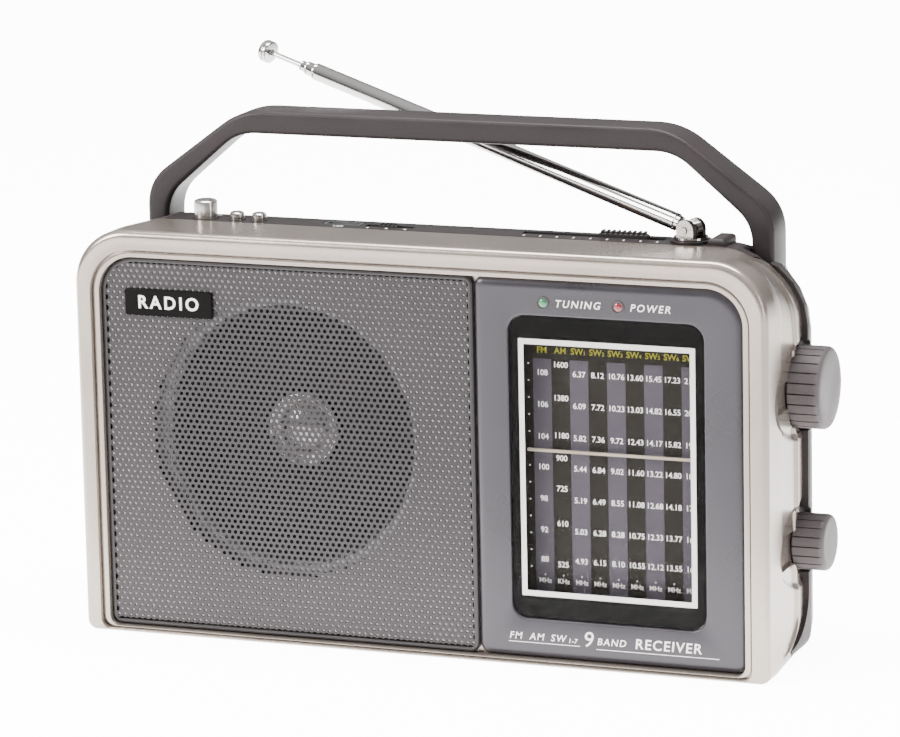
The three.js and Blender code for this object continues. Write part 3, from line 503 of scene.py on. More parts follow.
class Perimeter:
    """Points round the case: each stands at an angle on a corner's circle, or a share of the way between
    two."""

    def __init__(self, corner=14, runs=(300, 70, 120, 70)):
        angles, first, second, share = [], [], [], []
        for turn, run in enumerate(runs):
            start = -90 + 90 * turn
            angles += list(np.linspace(start, start + 90, corner))
            angles += [start + 90] * run
            first += [turn] * (corner + run)
            second += [turn] * corner + [(turn + 1) % 4] * run
            share += [0.0] * corner + list(np.arange(1, run + 1) / (run + 1))
        self.angle = np.radians(angles)
        self.first, self.second = np.array(first), np.array(second)
        self.share = np.array(share)
        self.count = len(self.angle)
        self.normal = np.column_stack([np.cos(self.angle), np.sin(self.angle)])

    def at(self, half, low, high, top_radius, low_radius):
        """Ring points for a half width, a base, a top and two corner radii, each a number or one per
        point."""
        ones = np.ones(self.count)
        r = np.stack([low_radius * ones, top_radius * ones, top_radius * ones, low_radius * ones])
        reach = np.stack([half * ones - r[0], half * ones - r[1], r[2] - half * ones, r[3] - half * ones])
        rise = np.stack([low + r[0], high - r[1], high - r[2], low + r[3]])
        picks = []
        for corner in (self.first, self.second):
            row = (corner, np.arange(self.count))
            centre = np.column_stack([reach[row], rise[row]])
            picks.append(centre + r[row][:, None] * self.normal)
        return picks[0] + self.share[:, None] * (picks[1] - picks[0])

    def climb(self, ring, top_radius):
        """How far up the side a point is, its height, or on a top corner the way walked on round the
        circle."""
        corner = HEIGHT - top_radius
        turn = np.where(self.angle <= np.pi / 2, self.angle, np.pi - self.angle)
        round_top = corner + top_radius * np.clip(turn, 0, np.pi / 2)
        return np.where(ring[:, 1] > corner, round_top, ring[:, 1])


def knob_places():
    """Each side knob: middle depth and height, pocket radius, notch front and height, hollow reach and
    rise."""
    tuning, volume = middle_of("tuning_knob"), middle_of("volume_knob")
    return [
        (tuning[1], tuning[2], 16.2, -20.4, 9.6, 36.0, 18.0),
        (volume[1], volume[2], 11.8, -16.2, 11.5, 31.0, 16.0),
    ]


def relief(y, ring, climb):
    """How far the side stands in: a facet behind a fine line, a bevel to the seam, and hollows on the right.

    The ridge runs at one depth up the side, and sweeps forward by a quarter ellipse at the foot and at the
    top corner."""
    ridge = SIDE_RIDGE - RIDGE_SWEEP * quarter((climb - 106) / 44) - RIDGE_SWEEP * quarter((17 - climb) / 12)
    shown = ease((150 - climb) / 18) * ease((climb - 4) / 4)
    bevel = BEVEL_FALL * np.clip((y - ridge) / BEVEL_RUN, 0, 1)
    facet = FACET_FALL * ease((y - SIDE_LINE + 0.25) / 0.5) * ease((ridge - y) / 1.6)
    line = 0.3 * np.exp(-((y - SIDE_LINE) / 0.4) ** 2)
    depth = shown * (bevel + facet + line)
    right = ring[:, 0] > 0
    for knob_y, knob_z, pocket, notch_front, notch_height, reach, rise in knob_places():
        oval = np.hypot((y - knob_y) / reach, (ring[:, 1] - knob_z) / rise)
        depth = depth + right * 1.0 * (1 - ease((oval - 0.84) / 0.16))
        round_well = 1 - ease((np.hypot(y - knob_y, ring[:, 1] - knob_z) - pocket + 0.5) / 0.5)
        off = np.abs(ring[:, 1] - knob_z)
        notch = ease((y - notch_front) / 0.5) * ease((notch_height / 2 - off) / 0.5 + 0.5)
        depth = np.maximum(depth, right * POCKET_DEPTH * np.maximum(round_well, notch))
    return depth


def case_ring(perimeter, y, inset):
    """The case's ring at depth y, one depth per point, stood in by its inset and by the relief."""
    growth = np.clip((y + CORNER_GROWTH) / CORNER_GROWTH, 0, 1)
    top = TOP_CORNER + (REAR_TOP_CORNER - TOP_CORNER) * growth - inset
    low = np.maximum(LOW_CORNER + (REAR_LOW_CORNER - LOW_CORNER) * growth - inset, 0.6)
    ring = perimeter.at(CASE_HALF - inset, inset + 0 * y, HEIGHT - inset + 0 * y, top, low)
    depth = relief(y, ring, perimeter.climb(ring, top))
    return ring - depth[:, None] * perimeter.normal


def with_depth(ring, y):
    """A ring of (x, z) points at depth y."""
    return np.column_stack([ring[:, 0], y * np.ones(len(ring)), ring[:, 1]])


def front_case(paint):
    """The silver moulding: one closed tube of rings, up the recess wall, over the lip and rim, back along
    the outside to the seam, and forward again inside the wall."""
    perimeter = Perimeter()
    flat = np.zeros(perimeter.count)

    def recess(grow, y, foot=None):
        foot = grow if foot is None else foot
        ring = perimeter.at(RECESS_HALF + grow, RECESS_LOW - foot + flat, RECESS_HIGH + grow + flat,
                            RECESS_CORNER + grow, RECESS_FOOT_CORNER)
        return with_depth(ring, y)

    lip = FRONT + LIP_DROP
    rings = [recess(0, BAFFLE_BACK), recess(0, lip + 0.4), recess(0.15, lip + 0.1), recess(0.45, lip)]
    turns = [(-0.8, lip, -0.3), (-0.55, lip + 0.1, -0.2), (-0.5, lip + 1.2, -0.15), (0.1, lip + 1.2, 0.0),
             (0.15, FRONT + 0.5, 0.05), (0.4, FRONT + 0.1, 0.15), (0.9, FRONT, 0.3)]
    for grow, y, foot in turns:
        rings.append(recess(LIP_WIDTH + grow, y, LIP_FOOT + foot))
    for turn in np.linspace(0, 90, 7):
        inset = FRONT_EDGE * (1 - math.sin(math.radians(turn)))
        y = FRONT + FRONT_EDGE * (1 - math.cos(math.radians(turn)))
        top_limit = min(inset, 1.9)
        ring = perimeter.at(CASE_HALF - inset, top_limit * 0.5 + flat, HEIGHT - inset + flat,
                            TOP_CORNER - inset, LOW_CORNER)
        rings.append(with_depth(ring, y))
    start = FRONT + FRONT_EDGE
    seam = flat + SEAM_SIDE
    for _ in range(4):
        seam = seam_depth(case_ring(perimeter, seam, 0)[:, 1])
    for share in np.linspace(0, 1, 98)[1:]:
        y = start + share * (seam - start)
        rings.append(with_depth(case_ring(perimeter, y, 0), y))
    for share in np.linspace(1, 0, 24):
        y = BAFFLE_BACK + share * (seam - BAFFLE_BACK)
        rings.append(with_depth(case_ring(perimeter, y, WALL), y))
    points = np.concatenate(rings)
    faces = grid_faces(len(rings), perimeter.count, wrap_rows=True)
    piece("front_shell", points, faces, "cabinet", "silver_moulding", paint, ["front_cabinet"], crease=40)
    speaker = middle_of("speaker_cone")
    outline = rounded(-RECESS_HALF, RECESS_HALF, RECESS_LOW, RECESS_HIGH,
                      [RECESS_FOOT_CORNER, RECESS_CORNER, RECESS_CORNER, RECESS_FOOT_CORNER])
    opening = circle(speaker[0], speaker[2], SPEAKER_OPENING, 96)
    dial = rounded(LENS_LOW[0] + 2, LENS_HIGH[0] - 2, LENS_LOW[2] + 2, LENS_HIGH[2] - 2, 2)
    points, faces = plate([outline, opening, dial], BAFFLE_FRONT, BAFFLE_BACK, 0.2)
    piece("front_baffle", points, faces, "cabinet", "silver_moulding", paint)


# ---- Grille, badge and speaker ---------------------------------------------------------------------------

def inside_rounded(x, z, low, high, radii):
    """True where a point is inside a rounded rectangle, by its distance from the nearest corner's
    centre."""
    good = (x > low[0]) & (x < high[0]) & (z > low[1]) & (z < high[1])
    signs = [(1, -1), (1, 1), (-1, 1), (-1, -1)]
    for (sx, sz), r in zip(signs, radii):
        cx = (high[0] if sx > 0 else low[0]) - sx * r
        cz = (high[1] if sz > 0 else low[1]) - sz * r
        beyond = ((x - cx) * sx > 0) & ((z - cz) * sz > 0)
        good &= ~(beyond & (np.hypot(x - cx, z - cz) > r))
    return good


def honeycomb(low, high, radii, margin, pitch):
    """Middles of a honeycomb's cells: row z = 0.866 k p, with x shifted half a pitch on every other row. A
    cell is kept where its middle lies inside the outline."""
    rows = int((high[1] - low[1]) / (pitch * 0.866)) + 2
    columns = int((high[0] - low[0]) / pitch) + 2
    k, j = np.meshgrid(np.arange(rows), np.arange(columns), indexing="ij")
    x = (low[0] + margin + (j + 0.5 * (k % 2)) * pitch).ravel()
    z = (low[1] + margin + k * pitch * math.sqrt(0.75)).ravel()
    edge = [np.asarray(low) + margin, np.asarray(high) - margin]
    keep = inside_rounded(x, z, edge[0], edge[1], np.maximum(np.asarray(radii) - margin, 0.5))
    return x[keep], z[keep]


def perforated_sheet(x, z, pitch, hole, face, thickness):
    """Six-sided cells round the middles, each with a twelve-sided hole whose wall runs back."""
    turn12 = np.radians(np.arange(12) * 30)
    turn6 = np.radians(np.arange(6) * 60 + 30)
    ring = np.column_stack([np.cos(turn12), np.sin(turn12)]) * hole / 2
    hexagon = np.column_stack([np.cos(turn6), np.sin(turn6)]) * pitch / math.sqrt(3)
    flat = np.concatenate([ring, hexagon, ring])
    depth = np.concatenate([np.full(18, face), np.full(12, face + thickness)])
    count = len(x)
    points = np.empty((count, 30, 3))
    points[:, :, 0] = x[:, None] + flat[:, 0]
    points[:, :, 1] = depth
    points[:, :, 2] = z[:, None] + flat[:, 1]
    faces = []
    for k in range(6):
        a, b, c = 2 * k + 1, (2 * k + 2) % 12, (2 * k + 3) % 12
        corner, after = 12 + k, 12 + (k + 1) % 6
        faces += [(a, corner, b, b), (b, corner, after, after), (b, after, c, c)]
    walls = [((j + 1) % 12, j, 18 + j, 18 + (j + 1) % 12) for j in range(12)]
    triangles = (np.array(faces)[:, :3] + (np.arange(count) * 30)[:, None, None]).reshape(-1, 3)
    quads = (np.array(walls) + (np.arange(count) * 30)[:, None, None]).reshape(-1, 4)
    return points.reshape(-1, 3), triangles.tolist() + quads.tolist()


def studs(x, z, radius, face, rise):
    """Small domes, each two rings and a crown: height rise (1 - (r / radius)^2) over a ten-sided foot."""
    turn = np.radians(np.arange(10) * 36)
    ring = np.column_stack([np.cos(turn), np.sin(turn)])
    flat = np.concatenate([ring * radius, ring * radius * 0.6, [[0, 0]]])
    lift = np.concatenate([np.zeros(10), np.full(10, rise * 0.64), [rise]])
    points = np.empty((len(x), 21, 3))
    points[:, :, 0] = x[:, None] + flat[:, 0]
    points[:, :, 1] = face - lift
    points[:, :, 2] = z[:, None] + flat[:, 1]
    sides = [(j, (j + 1) % 10, 10 + (j + 1) % 10, 10 + j) for j in range(10)]
    crown = [(10 + j, 10 + (j + 1) % 10, 20) for j in range(10)]
    step = (np.arange(len(x)) * 21)[:, None, None]
    faces = (np.array(sides) + step).reshape(-1, 4).tolist()
    faces += (np.array(crown) + step).reshape(-1, 3).tolist()
    return points.reshape(-1, 3), faces


def grille(paint, bright):
    """The perforated sheet and its rolled edge, a strip whose section is a quarter round and a flat turned
    in."""
    low, high = GRILLE_LOW[[0, 2]], GRILLE_HIGH[[0, 2]]
    radii = [3.2, 3.2, RECESS_CORNER - 0.3, 3.2]
    props = settings()
    pitch, hole = props.grille_pitch / MM, props.hole_width / MM
    x, z = honeycomb(low, high, radii, 1.35, pitch)
    points, faces = perforated_sheet(x, z, pitch, hole, PANEL_FACE + 0.15, 0.5)
    piece("grille_sheet", points, faces, "cabinet", "grille_metal", paint, ["speaker_grille"], closed=False)
    centre = middle_of("speaker_cone")
    solid = np.hypot(x - centre[0], z - centre[2]) > SPEAKER_OPENING
    points, faces = studs(x[solid], z[solid], hole / 2 - 0.02, PANEL_FACE + 0.55, 0.42)
    piece("grille_studs", points, faces, "cabinet", "grille_metal", bright, closed=False, crease=80)
    rings = []
    section = [(1.5, 0.12), (1.3, 0.0), (0.9, 0.0), (0.45, 0.12), (0.15, 0.4), (0.0, 0.9), (0.0, 2.1),
               (0.6, 2.1), (0.8, 0.9)]
    section += [(1.5, 0.5)]
    for inset, back in section:
        corners = np.maximum(np.asarray(radii) - inset, 0.4)
        ring = rounded(low[0] + inset, high[0] - inset, low[1] + inset, high[1] - inset, corners, 12)
        rings.append(with_depth(ring, PANEL_FACE + back))
    points = np.concatenate(rings)
    faces = grid_faces(len(rings), len(rings[0]), wrap_rows=True)
    piece("grille_edge", points, faces, "cabinet", "grille_metal", paint)


def badge(black, ink):
    """A glossy black plate with a thin rounded edge and generic lettering."""
    low, high = box_mm("badge_plate")
    outline = rounded(low[0], high[0], low[2], high[2], 0.5, 5)
    points, faces = plate([outline], low[1] + 0.1, high[1], 0.15)
    piece("badge", points, faces, "cabinet", "badge", black, ["badge_plate"])
    at = ((low[0] + high[0]) / 2, low[1] + 0.09, (low[2] + high[2]) / 2)
    words = lettering("RADIO", 4.6, at, 0.05, 0.03, 0.0, 1.3)
    piece("badge_lettering", *words, "cabinet", "badge", ink)


def speaker(paper, cap):
    """The cone with its rolled surround, y = -cos of the rolls, and the dust cap: a rim, a groove with a
    sine-squared section and a dome that is part of a sphere."""
    centre = middle_of("speaker_cone")
    cone_low, cone_high = box_mm("speaker_cone")
    cap_low, cap_high = box_mm("speaker_dust_cap")
    origin = [centre[0], 0, centre[2]]
    radius = np.linspace(13.2, 45.4, 40)
    share = (radius - radius[0]) / (radius[-1] - radius[0])
    depth = cone_high[1] + (cone_low[1] + 1.0 - cone_high[1]) * share ** 0.8
    rolls = 0.55 * np.where(radius > 36, np.cos((radius - 36) * 2 * np.pi / 3.1) - 1, 0)
    front = np.column_stack([depth + rolls, radius])
    back = np.column_stack([depth + rolls + 0.5, radius])[::-1]
    points, faces = turned(np.concatenate([front, back]), origin, (0, 1, 0), 72, (False, False))
    rows = len(front) * 2
    faces += [[(rows - 1) * 72 + i, (rows - 1) * 72 + (i + 1) % 72, (i + 1) % 72, i] for i in range(72)]
    piece("cone", points, faces, "cabinet", "cone_paper", paper, ["speaker_cone"])
    edge, groove = 13.5, 10.2
    rise = cap_high[1] - cap_low[1] - 0.6
    ball = (groove ** 2 + rise ** 2) / (2 * rise)
    angle = np.linspace(0.02, math.asin(groove / ball), 16)
    dome = np.column_stack([cap_low[1] + ball - ball * np.cos(angle), ball * np.sin(angle)])
    turn = np.linspace(0.1, 1, 10)
    rim = np.column_stack([dome[-1, 0] - 1.6 * np.sin(turn * np.pi * 0.75) ** 2,
                           groove + turn * (edge - groove)])
    dome = np.concatenate([dome, rim])
    under = dome[::-1] + np.array([0.5, 0])
    points, faces = turned(np.concatenate([dome, under]), origin, (0, 1, 0), 64)
    piece("dust_cap", points, faces, "cabinet", "dust_cap", cap, ["speaker_dust_cap"])


# ---- Dial ------------------------------------------------------------------------------------------------

BANDS = {
    "FM": ["108", "106", "104", "100", "98", "92", "88"],
    "AM": ["1600", "1380", "1180", "900", "725", "610", "525"],
    "SW1": ["6.37", "6.09", "5.82", "5.44", "5.19", "5.03", "4.93"],
    "SW2": ["8.12", "7.72", "7.36", "6.84", "6.49", "6.28", "6.15"],
    "SW3": ["10.76", "10.23", "9.72", "9.02", "8.55", "8.28", "8.10"],
    "SW4": ["13.60", "13.03", "12.43", "11.60", "11.08", "10.75", "10.55"],
    "SW5": ["15.45", "14.82", "14.17", "13.22", "12.68", "12.33", "12.12"],
    "SW6": ["17.23", "16.55", "15.82", "14.80", "14.18", "13.77", "13.55"],
    "SW7": ["21.5", "20.6", "19.7", "18.3", "17.5", "16.9", "16.5"],
}
ROWS = [101.9, 90.7, 79.4, 68.6, 57.4, 46.3, 35.8]
AM_ROWS = [104.9, 93.2, 80.0, 72.0, 61.2, 48.8, 34.2]
HEADING_ROW, UNIT_ROW = 109.8, 28.2
FIRST_COLUMN, COLUMN_STEP = 43.6, 6.73


# The panel's rounded outer edge: how wide it is and how far it falls.
EDGE_WIDTH, EDGE_DROP = 3.4, 1.7


def dial_panel(paint, ink):
    """The satin panel, its outer edge a broad round and its window opening a small one, and its
    lettering."""
    radii = [3.2, RECESS_CORNER - 0.3, 3.2, 3.2]
    outline = (PANEL_LOW[0], PANEL_HIGH[0], PANEL_LOW[2], PANEL_HIGH[2])
    window = (LENS_LOW[0] - 0.3, LENS_HIGH[0] + 0.3, LENS_LOW[2] - 0.3, LENS_HIGH[2] + 0.3)
    rings = []
    back = PANEL_HIGH[1]
    edge = [(0, back), (0, PANEL_FACE + EDGE_DROP)]
    for angle in (15, 30, 45, 60, 75, 90):
        edge.append((EDGE_WIDTH * quarter_share(angle),
                     PANEL_FACE + EDGE_DROP * (1 - math.sin(math.radians(angle)))))
    edge += [(EDGE_WIDTH + 1.2, PANEL_FACE)]
    for inset, y in edge:
        corners = np.maximum(np.asarray(radii) - inset * 0.6, 0.6)
        ring = rounded(outline[0] + inset, outline[1] - inset, outline[2] + inset, outline[3] - inset,
                       corners, 12)
        rings.append(with_depth(ring, y))
    for grow, y in [(0.7, PANEL_FACE), (0.35, PANEL_FACE + 0.1), (0.1, PANEL_FACE + 0.35),
                    (0, PANEL_FACE + 0.7), (0, back)]:
        ring = rounded(window[0] - grow, window[1] + grow, window[2] - grow, window[3] + grow, 5.8 + grow,
                       12)
        rings.append(with_depth(ring, y))
    points = np.concatenate(rings)
    faces = grid_faces(len(rings), len(rings[0]), wrap_rows=True)
    piece("dial_surround", points, faces, "cabinet", "dial_moulding", paint, ["dial_panel"])
    proud = PANEL_FACE - 0.01
    z = middle_of("tuning_lamp")[2]
    words = []
    for lamp, label in (("tuning_lamp", "TUNING"), ("power_lamp", "POWER")):
        words.append(lettering(label, 2.6, (middle_of(lamp)[0] + 4.2, proud, z - 0.1), 0.04, 0.016, 0.22,
                               1.28, "LEFT"))
    foot = (PANEL_LOW[2] + LENS_LOW[2]) / 2 + 0.3
    left = LENS_LOW[0] - 1.6
    parts = [("FM", 0.0), ("AM", 7.4), ("SW", 15.2)]
    for label, shift in parts:
        words.append(lettering(label, 2.5, (left + shift, proud, foot), 0.04, 0.01, 0.2, 1.2, "LEFT"))
    words.append(lettering("1-7", 1.7, (left + 21.6, proud, foot - 0.5), 0.04, 0.01, 0.2, 1.1, "LEFT"))
    words.append(lettering("9", 5.6, (left + 27.0, proud, foot + 0.3), 0.04, 0.0, 0.15, 1.0, "LEFT"))
    words.append(lettering("BAND", 2.5, (left + 32.2, proud, foot), 0.04, 0.01, 0.2, 1.2, "LEFT"))
    words.append(lettering("RECEIVER", 3.6, (left + 46.0, proud, foot + 0.2), 0.04, 0.02, 0.1, 1.16,
                           "LEFT"))
    words.append(bar_print(left - 0.2, left + 26.0, foot - 2.2, 0.22))
    words.append(bar_print(left + 32.0, left + 76.5, foot - 2.8, 0.22))
    piece("panel_lettering", *join_parts(words), "cabinet", "dial_moulding", ink)


def quarter_share(angle):
    """How far a quarter round has come in at an angle: 1 - cos a."""
    return 1 - math.cos(math.radians(angle))


def bar_print(left, right, z, height, y=None):
    """A thin printed line across the panel."""
    y = PANEL_FACE - 0.03 if y is None else y
    outline = np.array([(left, z), (right, z), (right, z + height), (left, z + height)])
    return plate([outline], y, y + 0.04)


# The white frame line's outer corners, (x, z).
WINDOW_FRAME = (37.4, 24.2), (101.2, 115.0)


def dial_window(acrylic, black, ink):
    """A clear lens with rounded edges, the black band printed behind it, and the white frame line."""
    lens = rounded(LENS_LOW[0], LENS_HIGH[0], LENS_LOW[2], LENS_HIGH[2], 5.2, 10)
    piece("window_lens", *plate([lens], LENS_LOW[1], LENS_LOW[1] + 0.8, 0.25), "cabinet", "window", acrylic,
          ["dial_window"])
    frame_low, frame_high = WINDOW_FRAME
    line = settings().frame_line / MM
    outer = rounded(frame_low[0], frame_high[0], frame_low[1], frame_high[1], 0.3, 3)
    inner = rounded(frame_low[0] + line, frame_high[0] - line, frame_low[1] + line, frame_high[1] - line,
                    0.3, 3)
    middle = rounded(frame_low[0] + 0.9, frame_high[0] - 0.9, frame_low[1] + 0.9, frame_high[1] - 0.9, 0.3,
                     3)
    band = LENS_LOW[1] + 0.85
    piece("window_band", *plate([lens, middle], band + 0.06, band + 0.5), "cabinet", "window", black)
    piece("window_frame_line", *plate([outer, inner], band, band + 0.05), "cabinet", "window", ink)


def dial_scale(light_card, ink, olive):
    """The dial card's light columns, its numbers, band names and units, row by row."""
    face = SCALE_LOW[1]
    columns, numbers, names = [], [], []
    for i, (band, values) in enumerate(BANDS.items()):
        x = FIRST_COLUMN + i * COLUMN_STEP
        if i % 2 == 0:
            low, high = x - COLUMN_STEP / 2, min(x + COLUMN_STEP / 2, SCALE_HIGH[0] - 0.1)
            outline = rounded(low, high, SCALE_LOW[2] + 1, HEADING_ROW - 3.0, 0.1, 2)
            columns.append(plate([outline], face - 0.06, face - 0.005))
        rows = AM_ROWS if band == "AM" else ROWS
        ink_face = face - 0.08
        for value, z in zip(values, rows):
            numbers.append(lettering(value, settings().number_height / MM, (x, ink_face, z), 0.03, 0.012, 0,
                                     0.97))
        unit = "KHz" if band == "AM" else "MHz"
        numbers.append(lettering(unit, 1.75, (x, ink_face, UNIT_ROW), 0.03, 0.018, 0, 1.0))
        numbers.append(plate([circle(x, UNIT_ROW + 2.2, 0.24, 10)], ink_face - 0.01, ink_face + 0.02))
        names.append(lettering(band[:2], 2.2, (x - (0.7 if band[2:] else 0), ink_face, HEADING_ROW), 0.03,
                               0.02))
        if band[2:]:
            names.append(lettering(band[2:], 1.4, (x + 2.1, ink_face, HEADING_ROW - 0.35), 0.03, 0.02))
    for k in range(13):
        numbers.append(plate([circle(FIRST_COLUMN - 5.0, 33 + k * 6.0, 0.28, 10)], ink_face,
                             ink_face + 0.02))
    piece("scale_columns", *join_parts(columns), "cabinet", "scale_print", light_card)
    piece("scale_numbers", *join_parts(numbers), "cabinet", "scale_print", ink)
    piece("scale_names", *join_parts(names), "cabinet", "scale_print", olive)


def lamp(node, resin, ring_paint, slot):
    """A domed lamp, the end of a sphere on a short post, in a thin dark bezel ring."""
    low, high = box_mm(node)
    x, _, z = (low + high) / 2
    radius = (high[0] - low[0]) / 2 - 0.05
    profile = [(low[1] + 0.9, radius), (high[1], radius)]
    dome = [(low[1] + 0.9 - 0.9 * math.sin(a), radius * math.cos(a)) for a in np.linspace(1.45, 0.15, 8)]
    piece(node + "_lens", *turned(dome + profile, (x, 0, z), (0, 1, 0), 32), "cabinet", slot, resin, [node])
    bezel = [(PANEL_FACE - 0.12, radius + 0.15), (PANEL_FACE - 0.2, radius + 0.4),
             (PANEL_FACE - 0.12, radius + 0.7),
             (PANEL_FACE + 0.4, radius + 0.75), (PANEL_FACE + 0.4, radius + 0.1)]
    points, faces = turned(bezel, (x, 0, z), (0, 1, 0), 40, (False, False))
    faces += [[4 * 40 + i, 4 * 40 + (i + 1) % 40, (i + 1) % 40, i] for i in range(40)]
    piece(node + "_bezel", points, faces, "cabinet", "dial_moulding", ring_paint)


# ---- Knobs -----------------------------------------------------------------------------------------------

def knob(node, body, ribs, plastic):
    """A knob with flat lands and narrow grooves: radius r, less the groove's depth over its share of each
    step, carried from the case to a chamfered face."""
    low, high = box_mm(node)
    centre = (low + high) / 2
    radius = (high[2] - low[2]) / 2
    marks = [(0.0, 0), (0.25, 0), (0.5, 0), (0.75, 0), (0.86, 0), (0.9, 0.75), (0.96, 0.75)]
    share = np.concatenate([k + np.array([m[0] for m in marks]) for k in range(ribs)])
    groove = np.tile([m[1] for m in marks], ribs)
    angle = share / ribs * 2 * np.pi
    stations = [(0.0, 0.9, 1.0), (0.0, 0.3, 1.0), (0.3, 0.0, 1.0), (8.4, 0.0, 1.0), (9.2, 0.0, 0.7),
                (10.1, 0.05, 0.3), (10.7, 0.35, 0.0), (11.1, 0.8, 0.0), (11.3, 1.4, 0.0),
                (11.25, radius * 0.3, 0.0)]
    rings = []
    for along, inset, cut in stations:
        r = radius - inset - groove * cut
        x = np.full(len(angle), low[0] + along)
        rings.append(np.column_stack([x, centre[1] + r * np.cos(angle), centre[2] + r * np.sin(angle)]))
    points, faces = loft(rings)
    piece(node + "_cap", points, faces, body, "knob_plastic", plastic, [node], crease=28)


# ---- Top controls ----------------------------------------------------------------------------------------

BUTTON_RADII = {"power_button": 4.2, "small_button_1": 2.65, "small_button_2": 2.65}


def push_button(node, body, plating):
    """A turned push button with a softly domed crown and a groove round its skirt."""
    low, high = box_mm(node)
    x, y = (low[0] + high[0]) / 2, (low[1] + high[1]) / 2
    radius = BUTTON_RADII[node]
    top = high[2]
    crown = [(top - 1.3, radius), (top - 0.7, radius - 0.12), (top - 0.3, radius - 0.5),
             (top - 0.08, radius - 1.1)]
    profile = [(low[2], radius), (146.4, radius), (146.5, radius - 0.15), (146.8, radius - 0.15),
               (146.9, radius)]
    points, faces = turned(profile + crown + [(top, radius * 0.35)], (x, y, 0), (0, 0, 1), 40)
    piece(node + "_cap", points, faces, body, "button_metal", plating, [node])


# The sliding grips: their ends along x, and their ridges' first place, step and width.
BAND_GRIP, BAND_RIDGE, BAND_RIDGE_STEP, BAND_RIDGE_WIDTH = (57.0, 75.0), 57.9, 1.9, 1.0
FUNCTION_GRIP, FUNCTION_RIDGE, FUNCTION_RIDGE_STEP, FUNCTION_RIDGE_WIDTH = (-24.0, -17.0), -23.4, 1.6, 0.8
# The printed marks beside them: their first place and step.
BAND_MARK, BAND_MARK_STEP = 31, 6.1
FUNCTION_MARK, FUNCTION_MARK_STEP = -27, 7


def top_controls(switch, ink):
    """The band selector and the function switch with their ridges, and the printed marks."""
    low, high = box_mm("band_switch")
    y = (low[1] + high[1]) / 2
    body = [block((BAND_GRIP[0], y - 1.6, low[2] + 1.2), (BAND_GRIP[1], y + 1.6, high[2] - 1.0), 0.4)]
    for i in range(9):
        left = BAND_RIDGE + i * BAND_RIDGE_STEP
        body.append(block((left, y - 1.55, high[2] - 1.2), (left + BAND_RIDGE_WIDTH, y + 1.55, high[2]),
                          0.3))
    piece("band_slider_grip", *join_parts(body), "band_slider", "switch_plastic", switch, ["band_switch"])
    low, high = box_mm("function_switch")
    y = (low[1] + high[1]) / 2
    body = [block((FUNCTION_GRIP[0], y - 1.3, low[2] + 1.2), (FUNCTION_GRIP[1], y + 1.3, high[2] - 0.6),
                  0.35)]
    for i in range(4):
        left = FUNCTION_RIDGE + i * FUNCTION_RIDGE_STEP
        body.append(block((left, y - 1.25, high[2] - 0.8), (left + FUNCTION_RIDGE_WIDTH, y + 1.25, high[2]),
                          0.25))
    piece("function_slider_grip", *join_parts(body), "function_slider", "switch_plastic", switch,
          ["function_switch"])
    panel_low, panel_high = box_mm("top_panel")
    top = panel_high[2] - 0.02
    marks = []
    for i in range(9):
        x = BAND_MARK + i * BAND_MARK_STEP
        outline = rounded(x - 0.25, x + 0.25, panel_low[1] + 2.0, panel_low[1] + 3.6, 0.05, 2)
        marks.append(plate([outline], top, top + 0.05, facing="top"))
    for i in range(3):
        x = FUNCTION_MARK + i * FUNCTION_MARK_STEP
        outline = rounded(x - 0.4, x + 0.4, panel_low[1] + 1.4, panel_low[1] + 2.6, 0.05, 2)
        marks.append(plate([outline], top, top + 0.05, facing="top"))
    marks.append(lettering("USB", 1.6, (-38.2, panel_low[1] + 2.0, top + 0.02), 0.04, 0.01, facing="top"))
    marks.append(lettering("POWER", 1.5, (-90, panel_low[1] + 11.2, top + 0.02), 0.04, 0.01, facing="top"))
    piece("top_marks", *join_parts(marks), "cabinet", "top_moulding", ink)


# ---- Handle ----------------------------------------------------------------------------------------------

def eased_line(corners, run, count):
    """A line through corners, each turned by a quadratic curve (1-t)^2 a + 2t(1-t) b + t^2 c that starts and
    ends a run away from it."""
    corners = np.asarray(corners, float)
    points = [corners[:1]]
    for before, here, after in zip(corners[:-2], corners[1:-1], corners[2:]):
        enter = here + (before - here) / np.linalg.norm(before - here) * run
        leave = here + (after - here) / np.linalg.norm(after - here) * run
        t = np.linspace(0, 1, count)[:, None]
        points.append((1 - t) ** 2 * enter + 2 * t * (1 - t) * here + t ** 2 * leave)
    points.append(corners[-1:])
    return np.concatenate(points)


# The bow's corners, outside and inside: the height of its shoulders, half its grip's width, the legs' inner
# faces and the grip's underside.
SHOULDER_OUT, SHOULDER_IN = 156.2, 151.3
GRIP_HALF_OUT, GRIP_HALF_IN = 80.5, 81.8
LEG_IN, GRIP_UNDERSIDE = 109.5, 175.0


